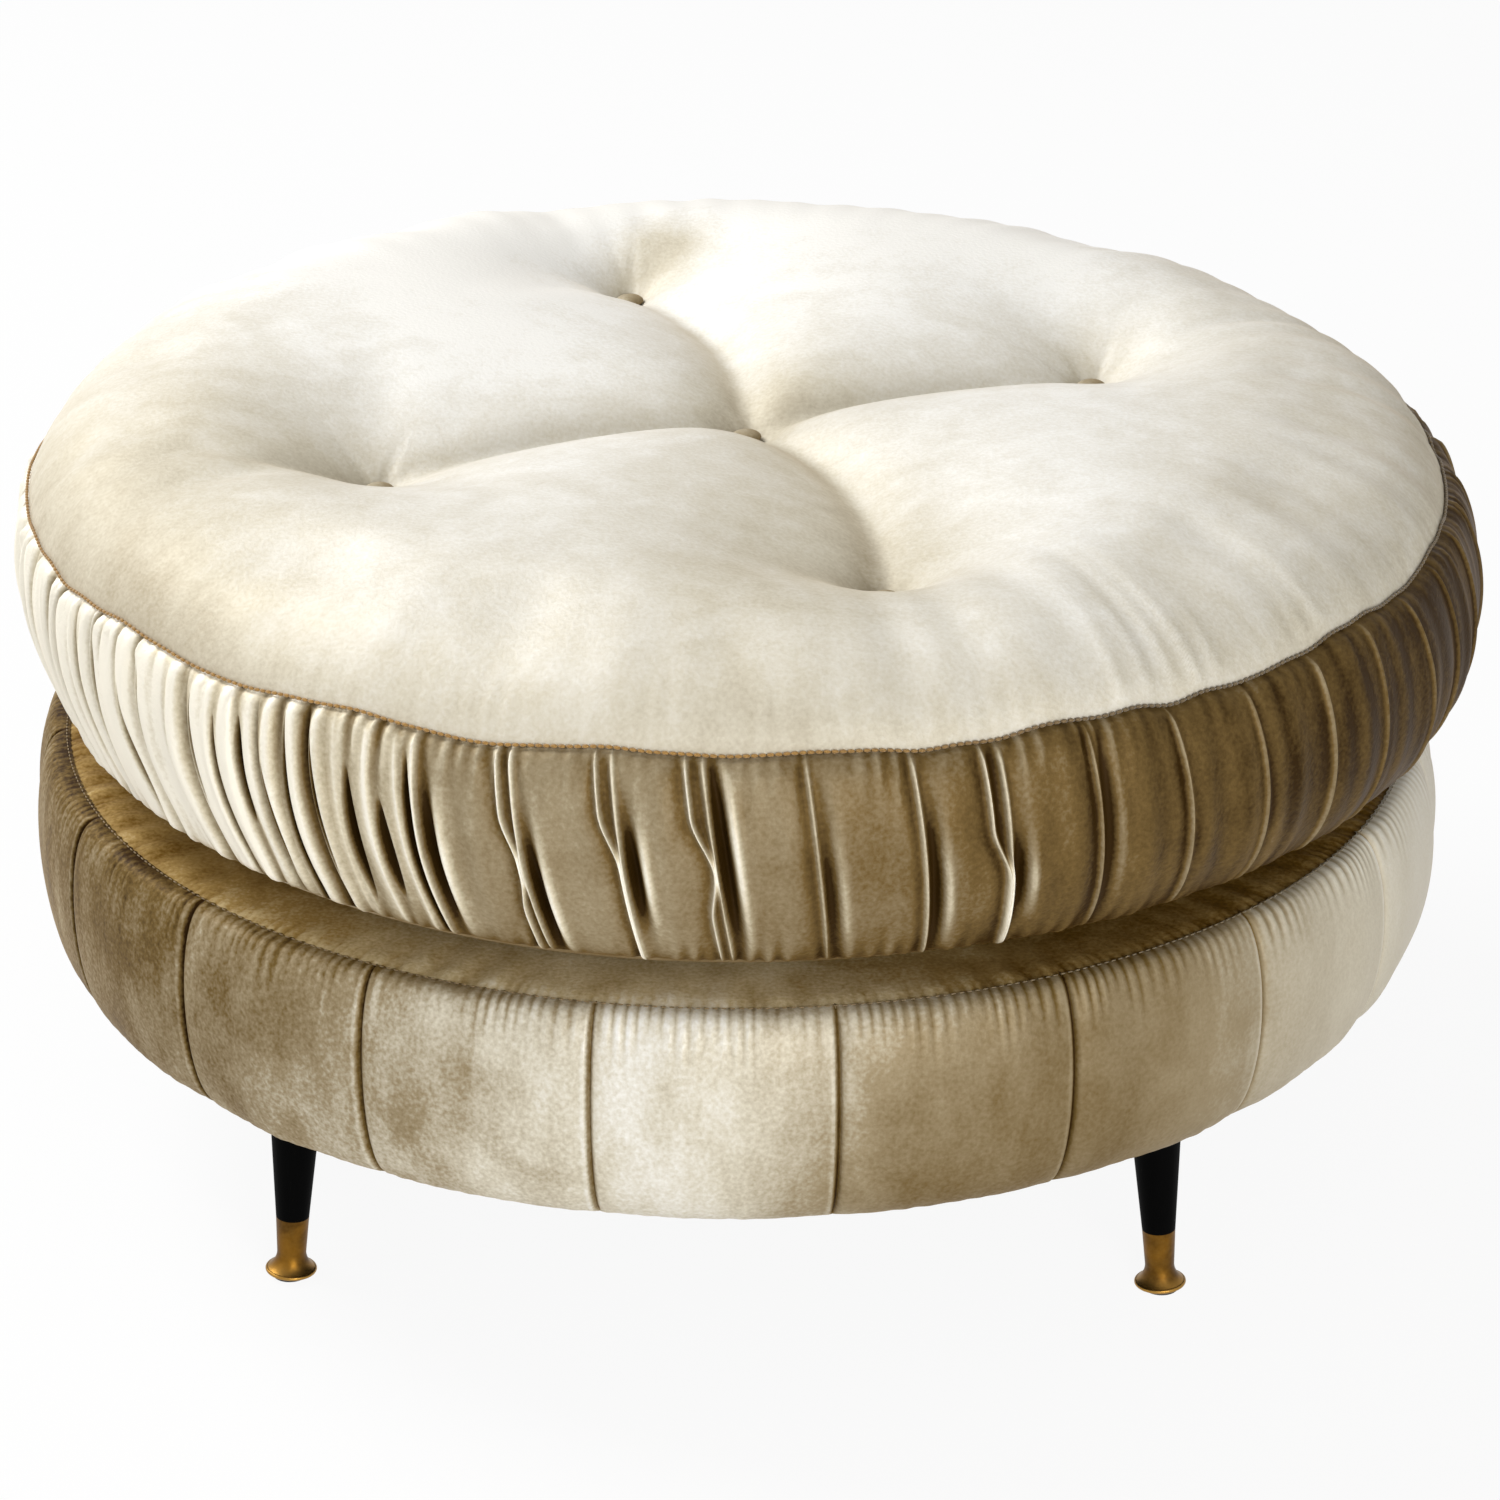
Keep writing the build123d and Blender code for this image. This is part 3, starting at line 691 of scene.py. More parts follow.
# Cushion underside: a plain round velvet panel that rests on the base, drawn in at five flat buttons.
# It is sewn to the boxing at the lower seam, and turns up to it beyond the part that rests.
tuft_offset = 6 * mm
long_line_angle = radians(18.5)  # from the front, to the right
long_line_reach = 266 * mm
cross_line_angle = radians(113.8)
cross_line_reach = 236 * mm
tuft_arms = [  # heading, reach, how far its valley bows aside, and how far it runs on past the button
    (long_line_angle, long_line_reach, 22 * mm, 60 * mm),
    (long_line_angle + pi, long_line_reach, -20 * mm, 45 * mm),
    (cross_line_angle, cross_line_reach, 0 * mm, 80 * mm),
    (cross_line_angle + pi, cross_line_reach, -10 * mm, 130 * mm),
]
tuft_places = [(tuft_offset, 0.0)]
for heading, reach, _, _ in tuft_arms:
    tuft_places.append((tuft_offset + reach * sin(heading), -reach * cos(heading)))
under_low, under_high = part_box("cushion_bottom_cover")
under_seam_radius = under_high.x
under_seam_height = under_high.z
rest_radius = 335 * mm
pocket_depth = 9 * mm
pocket_radius = 17 * mm


def lower_seam_lift(angle):
    """How far the lower seam is drawn up at the left, where the cushion is stuffed less."""
    return 9 * mm * np.clip(-np.sin(angle), 0, 1) ** 2


def underside_shape(u, v):
    angle = -u * tau
    radius = v * (under_seam_radius - 1.5 * mm)
    rise = np.clip((radius - rest_radius) / (under_seam_radius - rest_radius), 0, 1)
    full_rise = under_seam_height - under_low.z + 1.5 * mm + lower_seam_lift(angle)
    height = under_low.z + 0.1 * mm + full_rise * rise ** 2.2
    x, y, height = ring_point(angle, radius, height)
    for tuft_x, tuft_y in tuft_places:
        distance = np.hypot(x - tuft_x, y - tuft_y)
        height = height + pocket_depth * (1 - eased((distance - pocket_radius) / (28 * mm)))
    return x, y, height, np.zeros_like(x)


boxing_tones = [
    (0.0, colour(50, 33, 7)),
    (0.25, colour(109, 87, 49)),
    (0.5, colour(156, 141, 112)),
    (0.75, colour(214, 203, 177)),
    (1.0, colour(249, 243, 227)),
]
# Painted sheen and shade round the cushion's side, from left to right
boxing_sheen_by_place = [
    (-0.44, 0.94),
    (-0.36, 0.96),
    (-0.27, 0.80),
    (-0.17, 0.44),
    (0.02, 0.40),
    (0.14, 0.28),
    (0.28, 0.22),
    (0.38, 0.16),
    (0.44, 0.14),
]
cushion_velvet = velvet("cushion velvet", boxing_sheen_by_place, tones=boxing_tones, mottle=0.28, painted_shading_strength=0.65)
underside = wrapped_cloth("cushion_underside", 480, 56, underside_shape)
underside.data.materials.append(cushion_velvet)
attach(underside, "cushion")
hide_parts("cushion_bottom_cover", "cushion_bottom_wadding")


# Boxing: the cushion's side band, a long velvet strip pleated and gathered into both round seams.
# At the left its gathers open into long slits. Further round, pinched pleats stand up as thin ridges,
# some forking into little pockets, with soft hollows beside them, and at the right they lie flat.
boxing_low, boxing_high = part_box("cushion_boxing")
lower_seam_height = boxing_low.z
upper_seam_height = boxing_high.z
lower_seam_radius = under_seam_radius
upper_seam_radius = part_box("cushion_top_cover")[1].x
boxing_bulge = 23 * mm
boxing_lean = 11 * mm  # the loose stuffing has settled to the right
boxing_rows = 44
pleat_count = 52
first_pleat = radians(-21.3)
pleat_step = tau / pleat_count
pleat_slant = radians(1.6)
gather_from = radians(-125)
gather_to = radians(-24)
wide_to = radians(-46)  # left of here the gathers are wider and fewer
fork_to = radians(24)
band_radius = 445 * mm
ridge_width = 1.7 * mm
gather_ridge_width = 2.4 * mm
hollow_place = 5.5 * mm  # right of a pleat's ridge
hollow_width = 3.3 * mm
second_place = 12 * mm  # a low fold beyond the hollow
second_width = 3.2 * mm
pocket_sink = 2.2 * mm  # inside a fork
band_height = 131 * mm
panel_swell = 2.2 * mm
seam_tuck = 4.5 * mm
seam_tuck_reach = 1.8 * mm


def pleat_lines():
    """Each line as its angle at the upper seam, its slant, its fork's openings and height, and its kind."""
    lines = []
    for number in range(pleat_count):
        angle = first_pleat + number * pleat_step
        if angle > pi:
            angle -= tau
        angle += radians(rng.uniform(-0.5, 0.5))
        slant = radians(rng.uniform(1.0, 2.3))
        gathered = gather_from < angle < gather_to
        forked = rng.uniform() < 0.6 and not gathered and angle < fork_to
        fork_height = rng.uniform(0.42, 0.6)
        opening = radians(rng.uniform(0.8, 1.3))
        low_opening = radians(rng.uniform(0.6, 1.1)) * (rng.uniform() < 0.6)
        if forked:
            lines.append((angle, slant, opening, low_opening, fork_height, "fork"))
        lines.append((angle, slant, 0.0, 0.0, 0.0, "gather" if gathered else "pleat"))
        if gathered:
            for share in (0.5,) if angle < wide_to else (0.36, 0.68):
                between = angle + pleat_step * (share + rng.uniform(-0.09, 0.09))
                lines.append((between, radians(rng.uniform(0.9, 2.3)), 0.0, 0.0, 0.0, "gather"))
    return sorted(lines, key=lambda line: line[0] - (1e-6 if line[5] == "fork" else 0))


lines = pleat_lines()
line_tops = np.array([line[0] for line in lines])
line_slants = np.array([line[1] for line in lines])
line_opens = np.array([line[2] for line in lines])
line_low_opens = np.array([line[3] for line in lines])
line_fork_heights = np.array([line[4] for line in lines])
line_kinds = np.array([line[5] for line in lines])
line_count = len(lines)
gather_ridges = rng.uniform(-3.0, 3.5, line_count)
calmed = 1 - eased((line_tops - fork_to) / radians(12))  # the pleats lie flat at the right
pleat_ridges = rng.uniform(3.5, 5.0, line_count) * (0.6 + 0.4 * calmed)
ridge_heights = np.where(line_kinds == "gather", gather_ridges, pleat_ridges) * mm
hollow_depths = rng.uniform(2.5, 9.5, line_count) * (0.12 + 0.88 * calmed) * mm
hollow_middles = rng.uniform(0.3, 0.65, line_count)
wide = (line_tops < wide_to) & (line_kinds == "gather")
hollow_reaches = rng.uniform(0.15, 0.38, line_count) * np.where(wide, 1.6, 1.0)
slit_widths = np.where(wide, rng.uniform(5.0, 8.0, line_count), rng.uniform(3.0, 6.0, line_count)) * mm
slit_places = slit_widths + rng.uniform(1.0, 2.5, line_count) * mm
slit_depths = rng.uniform(6, 10, line_count) * ((rng.uniform(size=line_count) < 0.8) | wide) * mm
slit_depths = slit_depths * eased((line_tops - gather_from) / radians(45))  # shallow towards the back
slit_from = 0.2  # share of a gathered strip's columns that lie left of its slit
slit_to = 0.8
pinch_gap = radians(0.2)
fork_run = 0.25  # share of the band's height in which a fork opens

strip_columns = {"fork": 10, "pleat": 36, "gather": 26}
column_counts = [strip_columns[kind] for kind in line_kinds]
column_strips = np.repeat(np.arange(line_count), column_counts)
column_shares = np.concatenate([np.arange(count) / count for count in column_counts])
boxing_columns = len(column_strips)
upper_puckers = ripples(230, 340)
lower_puckers = ripples(200, 330)
short_waves = ripples(60, 130)
long_waves = ripples(14, 40)
fine_waves = ripples(110, 190)
seam_ripples = ripples(7, 24)
seam_scallops = ripples(45, 75)


def seam_wave(angle):
    """How much the upper seam rises and falls round the cushion."""
    return 1.5 * mm * seam_ripples(angle) + 0.7 * mm * seam_scallops(angle)


def line_angle(number, v):
    """Where a pleat line runs at each height."""
    wrapped = np.mod(number, line_count)
    turns = tau * (number // line_count)
    fork = line_fork_heights[wrapped]
    above = eased((v - fork) / fork_run) * line_opens[wrapped]
    below = eased((fork - v) / fork_run) * line_low_opens[wrapped]
    pinch = pinch_gap * (line_kinds[wrapped] == "fork")
    return line_tops[wrapped] + turns + line_slants[wrapped] * (1 - v) - pinch - above - below


def beside_slit(step, strip, width, opened):
    """Where a gathered strip's columns lie, as a share of its width: they follow the edges of its slit."""
    room = np.maximum(width, 1 * mm)
    half = slit_widths[strip] * (0.25 + 0.75 * opened)
    near = np.clip((slit_places[strip] - half) / room, 0.05, 0.4)
    far = np.clip((slit_places[strip] + half) / room, near + 0.1, 0.92)
    before = near * step / slit_from
    within = near + (far - near) * (step - slit_from) / (slit_to - slit_from)
    after = far + (1 - far) * (step - slit_to) / (1 - slit_to)
    return np.where(step < slit_from, before, np.where(step < slit_to, within, after))


def boxing_shape(u, v):
    column = np.mod(np.rint(u * boxing_columns).astype(int), boxing_columns)
    strip = column_strips[column]
    step = column_shares[column]
    kind = line_kinds[strip]
    left = line_angle(strip, v)
    right = line_angle(strip + 1, v)
    width = (right - left) * band_radius
    along = (v - hollow_middles[strip]) / hollow_reaches[strip]
    opened = np.clip(1 - (along / 1.5) ** 2, 0, 1)
    share = np.where(kind == "gather", beside_slit(step, strip, width, opened), closer_at_ends(step))
    angle = left + (right - left) * share
    following = np.mod(strip + 1, line_count)
    from_left = (angle - left) * band_radius
    from_right = (right - angle) * band_radius

    lowest = lower_seam_height - 1.0 * mm
    height = lowest + (upper_seam_height - lowest) * v
    edge = lower_seam_radius + (upper_seam_radius - lower_seam_radius) * v
    rightward = np.sin(angle)
    belly = np.sin(pi * np.clip(v, 0, 1) ** (1.08 - 0.33 * rightward)) ** (0.66 - 0.08 * rightward)
    radius = edge + (boxing_bulge + boxing_lean * rightward) * belly

    thin = np.where(kind == "gather", gather_ridge_width, ridge_width)
    seam_fade = eased(v / 0.08 + 0.15) * eased((1 - v) / 0.06 + 0.15)
    ridges = ridge_heights[strip] * np.exp(-((from_left / thin) ** 1.5))
    ridges = ridges + ridge_heights[following] * np.exp(-((from_right / thin) ** 1.5))
    deep = hollow_depths[strip] * bell(along)
    hollow = deep * bell((from_left - hollow_place) / hollow_width)
    second = 0.5 * deep * bell((from_left - second_place) / second_width)
    edge_dip = 2.2 * mm * bell(from_right / (6 * mm)) + 1.5 * mm * bell(from_left / (4 * mm))
    slit = opened * np.sin(pi * np.clip((step - slit_from) / (slit_to - slit_from), 0, 1)) ** 1.4
    pleated = ridges - hollow + (second - edge_dip) * (0.15 + 0.85 * calmed[strip])
    pocket = ridges - np.minimum(width * 0.4, pocket_sink) * np.sin(pi * share)
    gathered = ridges - slit_depths[strip] * slit + 0.3 * second
    swell = np.where(kind == "fork", 0.0, panel_swell * (0.3 + 0.7 * calmed[strip]) * np.sin(pi * share))
    relief = np.where(kind == "pleat", pleated, np.where(kind == "fork", pocket, gathered))

    from_top = (1 - v) * band_height
    from_bottom = v * band_height
    loose = eased((angle - gather_from) / radians(15)) * eased((gather_to - angle) / radians(15) + 0.7)
    pucker_reach = (12 + 10 * loose) * mm
    pucker_height = (0.6 + 0.9 * loose) * mm
    top_puckers = pucker_height * upper_puckers(angle) * np.exp(-((from_top / pucker_reach) ** 1.5))
    sharp_puckers = np.clip(upper_puckers(angle) - 0.9, 0, 1)
    top_puckers = top_puckers + 2.0 * mm * sharp_puckers * np.exp(-((from_top / (22 * mm)) ** 1.5))
    low_puckers = 1.0 * mm * lower_puckers(angle) * np.exp(-((from_bottom / (16 * mm)) ** 1.5))
    waves = 0.8 * mm * short_waves(angle + 0.03 * (v - 0.5)) + 1.0 * mm * long_waves(angle)
    slack = 0.3 * eased((angle - fork_to) / radians(20)) + 0.9 * loose  # the front is drawn tight
    soft_folds = slack * mm * fine_waves(angle - pleat_slant * (1 - v))
    radius = radius + (relief + swell + soft_folds) * seam_fade + waves * belly + top_puckers + low_puckers
    tuck = seam_tuck * (np.exp(-from_top / seam_tuck_reach) + np.exp(-from_bottom / seam_tuck_reach))
    # Painted shading: shade in the slits, hollows and puckers, highlights on the ridges, and a shadow along
    # the lower edge
    fold = (relief * seam_fade + top_puckers + low_puckers) / (5 * mm) + soft_folds / (3.5 * mm)
    fold = fold - 0.6 * np.exp(-from_bottom / (7 * mm))
    height = height + seam_wave(angle) * eased(2 * v - 1) + lower_seam_lift(angle) * (1 - v) ** 2
    return *ring_point(angle, radius - tuck, height), fold


boxing = wrapped_cloth("cushion_boxing_band", boxing_columns, boxing_rows, boxing_shape)
boxing.data.materials.append(cushion_velvet)
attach(boxing, "cushion")
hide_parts("cushion_boxing", "cushion_side_wadding")


# Cushion top: a round velvet panel over thick wadding, pulled down at five buttons and sewn to the boxing.
# The stuffing swells between the buttons, so that soft valleys run from the middle one out past the others.
top_seam_radius = upper_seam_radius - 0.6 * mm
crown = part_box("cushion_top_cover")[1].z - upper_seam_height - 2 * mm
roll_from = 0.76  # share of the radius where the crown starts to roll down to the seam
well_depth = 0.78  # share of the crown that a button pulls down
well_radius = 40 * mm
valley_depth = 0.64
valley_width = 42 * mm
well_rounding = 4 * mm
rim_shade_width = 26 * mm
top_squares = 150
button_hold = 8 * mm
rim_shade_angle = radians(-50)  # where the painted shade at the rim is darkest
full_angle = radians(-118)  # where the stuffing is fullest
button_shade_strengths = [0.35, 0.2, 1.0, 0.2, 0.0]  # how strong the painted golden-brown shade is behind each button


def disc_place(u, v):
    """Spreads a square evenly over the round panel."""
    across = 2 * u - 1
    back = 2 * v - 1
    x = across * np.sqrt(1 - back * back / 2)
    y = back * np.sqrt(1 - across * across / 2)
    return x * top_seam_radius, y * top_seam_radius


def along_valley(x, y, arm):
    """How far a point lies out along a valley from the middle button, and how far aside of its curve."""
    heading, reach, bow, _ = arm
    out = (x - tuft_offset) * sin(heading) - y * cos(heading)
    aside = (x - tuft_offset) * cos(heading) + y * sin(heading)
    return out, aside - bow * np.sin(pi * np.clip(out / reach, 0, 1))


def softened(distance):
    """A distance without the sharp point that it has at 0."""
    return np.sqrt(distance * distance + well_rounding * well_rounding) - well_rounding


def cushion_top_shape(u, v):
    x, y = disc_place(u, v)
    share = np.clip(np.hypot(x, y) / top_seam_radius, 0, 1)
    turned = np.arctan2(x, -y)
    rolled = np.clip((share - roll_from) / (1 - roll_from), 0, 1)
    fuller = 0.26 * np.clip(np.cos(turned - full_angle), 0, 1) ** 2 * share ** 2
    dome = crown * (1 + fuller - 0.06 * share ** 2) * (1 - rolled ** 2.7) ** 0.75
    pulled = np.zeros_like(x)
    for tuft_x, tuft_y in tuft_places:
        distance = softened(np.hypot(x - tuft_x, y - tuft_y))
        pulled = pulled + (well_depth * np.exp(-distance / well_radius)) ** 4
    for arm in tuft_arms:
        _, reach, _, run_on = arm
        out, aside = along_valley(x, y, arm)
        past = eased(1 - (out - reach) / run_on) * eased(out / (20 * mm) + 0.5)
        pulled = pulled + (valley_depth * past * np.exp(-softened(aside) / valley_width)) ** 4
    pulled = pulled ** 0.25
    height = dome * (1 - pulled)
    # Painted golden-brown shade behind each button
    button_shade = np.zeros_like(x)
    for (tuft_x, tuft_y), strength in zip(tuft_places, button_shade_strengths):
        across = (x - tuft_x - 20 * mm) / (38 * mm)
        behind = (y - tuft_y - 38 * mm) / (42 * mm)
        button_shade = button_shade + strength * np.exp(-across ** 2 - behind ** 2)
    facing = 0.5 + 0.5 * np.cos(turned - rim_shade_angle)
    rim_shade = facing * bell((1 - share) * top_seam_radius / rim_shade_width)
    height = height + seam_wave(turned) * eased(share * 2.5 - 1.5)
    # Painted shading: shade in the wells and valleys, at the rim towards the front left, and behind the
    # buttons
    return x, y, upper_seam_height + height, -0.8 * pulled - 0.3 * rim_shade - button_shade


# Painted sheen and shade across the cushion's top, from left to right
top_sheen_by_place = [
    (-0.43, 0.78),
    (-0.34, 0.81),
    (-0.27, 0.93),
    (-0.19, 1.0),
    (-0.10, 1.0),
    (0.02, 0.92),
    (0.20, 0.98),
    (0.30, 0.90),
    (0.43, 0.86),
]
# Painted light towards the back and two opposite quarters, and painted shade on slopes that face right
top_velvet = velvet(
    "cushion top velvet", top_sheen_by_place, mottle=0.2, facing_shade=0.12, shine=0.6, back_light=0.35, quarter_light=0.8
)
cushion_top = wrapped_cloth("cushion_top", top_squares, top_squares, cushion_top_shape)
cushion_top.data.materials.append(top_velvet)


def puff(piece, held, free, pressure, slack, frames, most, smoothing):
    """Presses stuffing up under a square grid of cloth that is held at some points.

    The travel of its points is smoothed over their neighbours. free gives the share of it that each
    point keeps, and no point moves further than most.
    """
    start = points_of(piece)
    pins = piece.vertex_groups.new(name="held")
    for weight in np.unique(held[held > 0]):
        pins.add(np.flatnonzero(held == weight).tolist(), float(weight), "REPLACE")
    stuffing = piece.modifiers.new("stuffing", "CLOTH")
    stuffing.settings.vertex_group_mass = "held"
    stuffing.settings.use_pressure = True
    stuffing.settings.uniform_pressure_force = pressure
    stuffing.settings.shrink_min = -slack
    stuffing.settings.mass = 0.3
    stuffing.settings.tension_stiffness = 20
    stuffing.settings.compression_stiffness = 8
    stuffing.settings.shear_stiffness = 6
    stuffing.settings.bending_stiffness = 0.4
    stuffing.settings.effector_weights.gravity = 0
    stuffing.point_cache.frame_start = 1
    stuffing.point_cache.frame_end = frames
    for step in range(1, frames + 1):
        bpy.context.scene.frame_set(step)
    seen = piece.evaluated_get(bpy.context.evaluated_depsgraph_get())
    moved = np.empty(len(start) * 3)
    seen.data.vertices.foreach_get("co", moved)
    side = round(np.sqrt(len(start)))
    travel = (moved.reshape(-1, 3) - start).reshape(side, side, 3)
    for _ in range(smoothing):
        around = travel[:-2, 1:-1] + travel[2:, 1:-1] + travel[1:-1, :-2] + travel[1:-1, 2:]
        travel[1:-1, 1:-1] = 0.5 * travel[1:-1, 1:-1] + 0.125 * around
    travel = travel.reshape(-1, 3)
    length = np.maximum(np.linalg.norm(travel, axis=1, keepdims=True), 1e-9)
    piece.modifiers.remove(stuffing)
    piece.vertex_groups.clear()
    bpy.context.scene.frame_set(1)
    move_points(piece, start + travel / length * most * np.tanh(length / most) * free[:, None])


flat_top = points_of(cushion_top)
hold = np.zeros(len(flat_top))
from_middle = np.hypot(flat_top[:, 0], flat_top[:, 1])
for arm in tuft_arms:
    out, aside = along_valley(flat_top[:, 0], flat_top[:, 1], arm)
    hold[(np.abs(aside) < 4 * mm) & (out > 0) & (out < arm[1] + 30 * mm)] = 0.25
for tuft_x, tuft_y in tuft_places:
    hold[np.hypot(flat_top[:, 0] - tuft_x, flat_top[:, 1] - tuft_y) < button_hold] = 1.0
hold[from_middle > top_seam_radius - 1 * mm] = 1.0
free = eased((top_seam_radius - from_middle) / (120 * mm))
puff(cushion_top, hold, free, pressure=3, slack=0.004, frames=20, most=12 * mm, smoothing=8)

bpy.ops.object.select_all(action="DESELECT")
cushion_top.select_set(True)
bpy.context.view_layer.objects.active = cushion_top
rounding = cushion_top.modifiers.new("rounding", "SUBSURF")
rounding.levels = 1
rounding.render_levels = 1
bpy.ops.object.modifier_apply(modifier=rounding.name)

# Small creases that the stitching draws: they fan out from each button and run in from the seam
crease_count = 9
crease_width = 3.2 * mm
fine_top = points_of(cushion_top)
drawn = np.zeros(len(fine_top))
for tuft_x, tuft_y in tuft_places:
    away = np.hypot(fine_top[:, 0] - tuft_x, fine_top[:, 1] - tuft_y)
    turned = np.arctan2(fine_top[:, 1] - tuft_y, fine_top[:, 0] - tuft_x)
    for number in range(crease_count):
        heading = (number + rng.uniform(-0.3, 0.3)) * tau / crease_count
        aside = away * np.sin(turned - heading)
        ahead = away * np.cos(turned - heading)
        fading = np.exp(-np.maximum(ahead - 10 * mm, 0) / (rng.uniform(10, 26) * mm)) * (ahead > 0)
        depth = rng.uniform(0.8, 2.2) * mm
        drawn -= depth * fading * bell(aside / crease_width) * eased(away / (12 * mm))
round_angle = np.arctan2(fine_top[:, 0], -fine_top[:, 1])
from_rim = top_seam_radius - np.hypot(fine_top[:, 0], fine_top[:, 1])
rim_reach = np.maximum(14 + 6 * ripples(20, 60)(round_angle), 4) * mm
drawn += 0.4 * mm * ripples(150, 250)(round_angle) * bell(from_rim / rim_reach)
seam_creases = [  # degrees round from the front, and reach in from the seam
    (30.5, 22 * mm),
    (33, 36 * mm),
    (35.2, 48 * mm),
    (37.2, 34 * mm),
    (39.5, 22 * mm),
    (49, 16 * mm),
    (51, 22 * mm),
]
seam_crease_height = 3.0 * mm
seam_crease_width = 3.4 * mm
for degrees, reach in seam_creases:
    aside = (round_angle - radians(degrees)) * top_seam_radius
    fading = np.exp(-np.maximum(from_rim, 0) / reach) * eased(from_rim / (6 * mm))
    drawn += seam_crease_height * fading * bell(aside / seam_crease_width)
fine_top[:, 2] += drawn
move_points(cushion_top, fine_top)
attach(cushion_top, "cushion")
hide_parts("cushion_top_cover", "cushion_top_wadding")


# Top seam thread: small golden-brown stitches that show in the seam between the top panel and the boxing.
# It is the same heavy cotton as the base's, and thicker.
top_stitch_count = 640
top_thread = stitched_ring(
    "top_seam_thread",
    radius=upper_seam_radius + 0.6 * mm,
    height=upper_seam_height + 0.4 * mm,
    count=top_stitch_count,
    length=4.6 * mm,
    thickness=2.1 * mm,
)
thread_points = points_of(top_thread)
thread_points[:, 2] += seam_wave(np.arctan2(thread_points[:, 0], -thread_points[:, 1]))
move_points(top_thread, thread_points)
golden_thread = thread_finish(
    "golden thread", colour(128, 91, 32), colour(182, 139, 66), colour(84, 66, 38), colour(120, 102, 70)
)
top_thread.data.materials.append(golden_thread)
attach(top_thread, "cushion")


# Top buttons: five small domed buttons covered in the same velvet, pulled down into the tufts by the twine.
# The cloth is gathered round each button's edge and tucked under it.
button_low, button_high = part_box("tuft_buttons")
button_radius = 9 * mm
button_height = button_high.z - button_low.z
button_lift = 3 * mm  # the stuffing carries the buttons a little above their seats
button_foot = button_low.z + button_lift
button_pleats = 18


def covered_button(name, x, y, foot, radius, height, puckered):
    """One cloth-covered button: a round form flattened to a dome, its cloth gathered at the edge."""
    bpy.ops.object.select_all(action="DESELECT")
    bpy.ops.mesh.primitive_uv_sphere_add(segments=72, ring_count=20, radius=1)
    button = bpy.context.object
    button.name = name
    button.data.name = name
    ball = points_of(button)
    turned = np.arctan2(ball[:, 1], ball[:, 0])
    level = ball[:, 2]
    out = np.hypot(ball[:, 0], ball[:, 1])
    gathered = 1 + puckered * np.cos(button_pleats * turned) * bell(level / 0.35)
    ball[:, 0] = x + out * np.cos(turned) * gathered * radius
    ball[:, 1] = y + out * np.sin(turned) * gathered * radius
    ball[:, 2] = foot + height * np.where(level > 0, 0.35 + 0.65 * level, 0.35 * (1 - np.abs(level) ** 0.6))
    move_points(button, ball)
    bpy.ops.object.shade_smooth()
    return button


def joined(pieces, name):
    """Joins like pieces into one."""
    bpy.ops.object.select_all(action="DESELECT")
    for piece in pieces:
        piece.select_set(True)
    bpy.context.view_layer.objects.active = pieces[0]
    bpy.ops.object.join()
    pieces[0].name = name
    pieces[0].data.name = name
    return pieces[0]


buttons = []
for tuft_x, tuft_y in tuft_places:
    button = covered_button("button", tuft_x, tuft_y, button_foot, button_radius, button_height, 0.03)
    buttons.append(button)
top_buttons = joined(buttons, "covered_buttons")
top_buttons.data.materials.append(velvet("button velvet", [(-0.4, 0.56), (0.4, 0.5)], mottle=0.2))
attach(top_buttons, "cushion")
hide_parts("tuft_buttons")


# Underside buttons: five flat velvet-covered discs that the twine is tied to, sunk in shallow pockets.
# They spread the pull of each tuft over the underside panel.
under_button_low, under_button_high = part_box("underside_buttons")
under_button_radius = 15 * mm
under_button_height = under_button_high.z - under_button_low.z
buttons = []
for tuft_x, tuft_y in tuft_places:
    disc = covered_button("button", tuft_x, tuft_y, 0.0, under_button_radius, under_button_height, 0.02)
    flipped = points_of(disc)
    flipped[:, 2] = under_button_high.z - flipped[:, 2]
    move_points(disc, flipped)
    disc.data.flip_normals()
    buttons.append(disc)
under_buttons = joined(buttons, "underside_covered_buttons")
under_buttons.data.materials.append(cushion_velvet)
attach(under_buttons, "cushion")
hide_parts("underside_buttons")


# Studio: a plain pale floor, a broad soft key light from the back left, a weak fill at the left and another
# at the front, and a long lens that looks down at the pouf from just right of its front.
floor_paper, place = new_finish("white paper")


def seen_rays(tree):
    """1 for rays that look at the surroundings, straight or in a reflection, and 0 for rays that light."""
    path = tree.nodes.new("ShaderNodeLightPath")
    seen = Shade(tree, path.outputs["Is Camera Ray"])
    for kind in ("Is Glossy Ray", "Is Transmission Ray"):
        seen = seen.maths("MAXIMUM", seen, Shade(tree, path.outputs[kind]))
    return seen


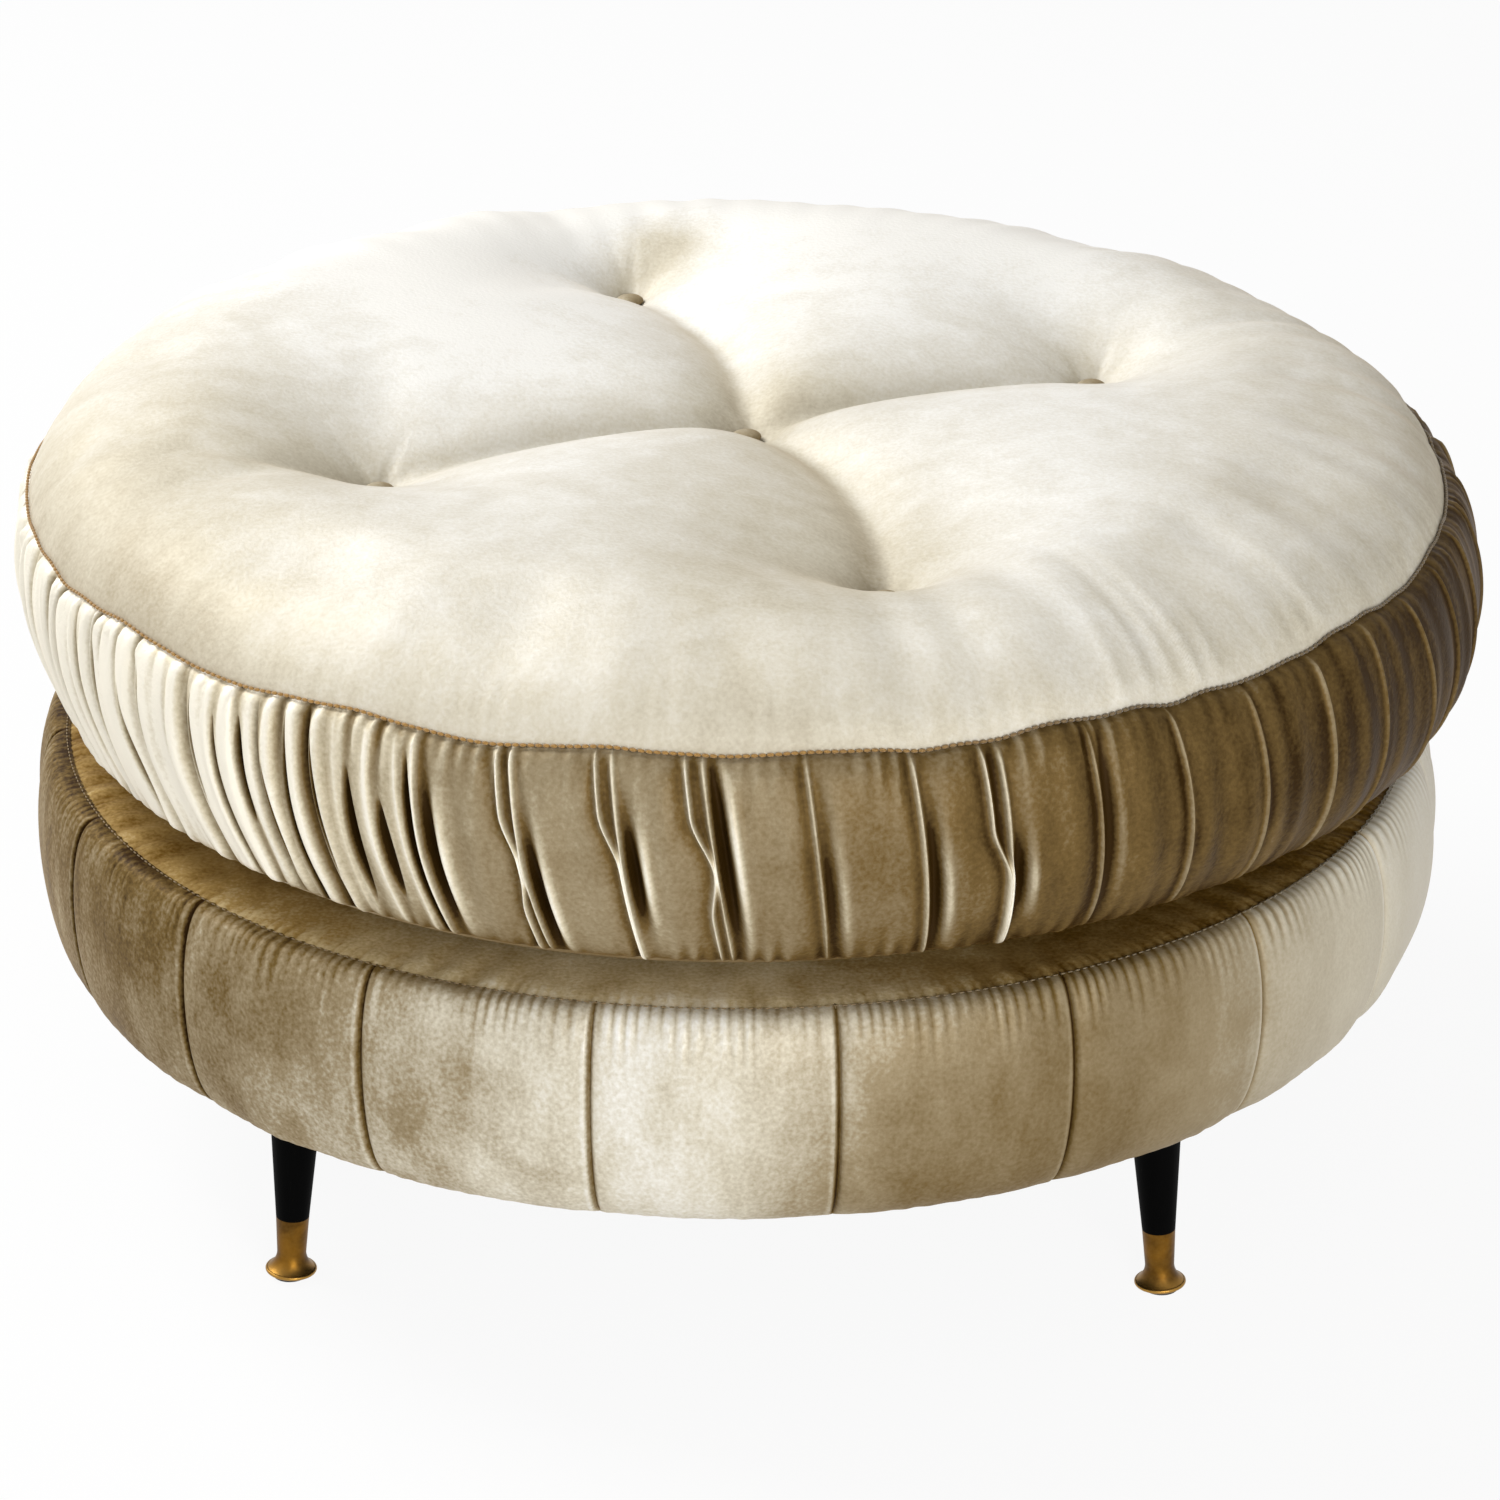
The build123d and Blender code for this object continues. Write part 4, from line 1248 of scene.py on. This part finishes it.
paper = place.node("ShaderNodeBsdfDiffuse", {}, {"Color": (0.9, 0.9, 0.9, 1.0)})
glow = place.node("ShaderNodeEmission", {}, {"Color": (1.0, 1.0, 1.0, 1.0), "Strength": 1.0})
floor_surface = place.node("ShaderNodeMixShader", {}, {0: seen_rays(place.tree) * 0.92, 1: paper, 2: glow})
place.node("ShaderNodeOutputMaterial", {}, {"Surface": floor_surface})
bpy.ops.object.select_all(action="DESELECT")
bpy.ops.mesh.primitive_plane_add(size=60)
floor = bpy.context.object
floor.name = "floor"
floor.data.materials.append(floor_paper)


def soft_lamp(name, place, target, size, power):
    """A square soft box that faces a point."""
    bpy.ops.object.light_add(type="AREA", location=place)
    lamp = bpy.context.object
    lamp.name = name
    lamp.data.size = size
    lamp.data.energy = power
    aim(lamp, target)


def aim(thing, target):
    from_target = thing.location - type(thing.location)(target)
    thing.rotation_euler = from_target.to_track_quat("Z", "Y").to_euler()


soft_lamp("key", place=(-2.6, 1.3, 3.3), target=(0, 0, 0.35), size=2.2, power=155)
soft_lamp("left fill", place=(-2.6, -1.2, 1.2), target=(0, 0, 0.3), size=1.2, power=9)
soft_lamp("front fill", place=(0.9, -2.6, 0.9), target=(0, 0, 0.25), size=1.2, power=40)
world = bpy.data.worlds.new("studio")
bpy.context.scene.world = world
world.use_nodes = True
background = world.node_tree.nodes["Background"]
background.inputs["Color"].default_value = (1.0, 1.0, 1.0, 1.0)
world_strength = 0.22 + seen_rays(world.node_tree) * 0.75
world.node_tree.links.new(world_strength.socket, background.inputs["Strength"])

view_height = 198 * mm
view_distance = 2.7
view_tilt = radians(25.66)
view_turn = radians(1.6)
level = view_distance * cos(view_tilt)
camera_height = view_height + view_distance * sin(view_tilt)
camera_place = (level * sin(view_turn), -level * cos(view_turn), camera_height)
bpy.ops.object.camera_add(location=camera_place)
camera = bpy.context.object
aim(camera, (0, 0, view_height))
camera.data.sensor_width = 36
camera.data.lens = 101.47
camera.data.shift_x = 0.0089
camera.data.shift_y = 0.0299
bpy.context.scene.camera = camera
bpy.context.scene.view_settings.view_transform = "Standard"
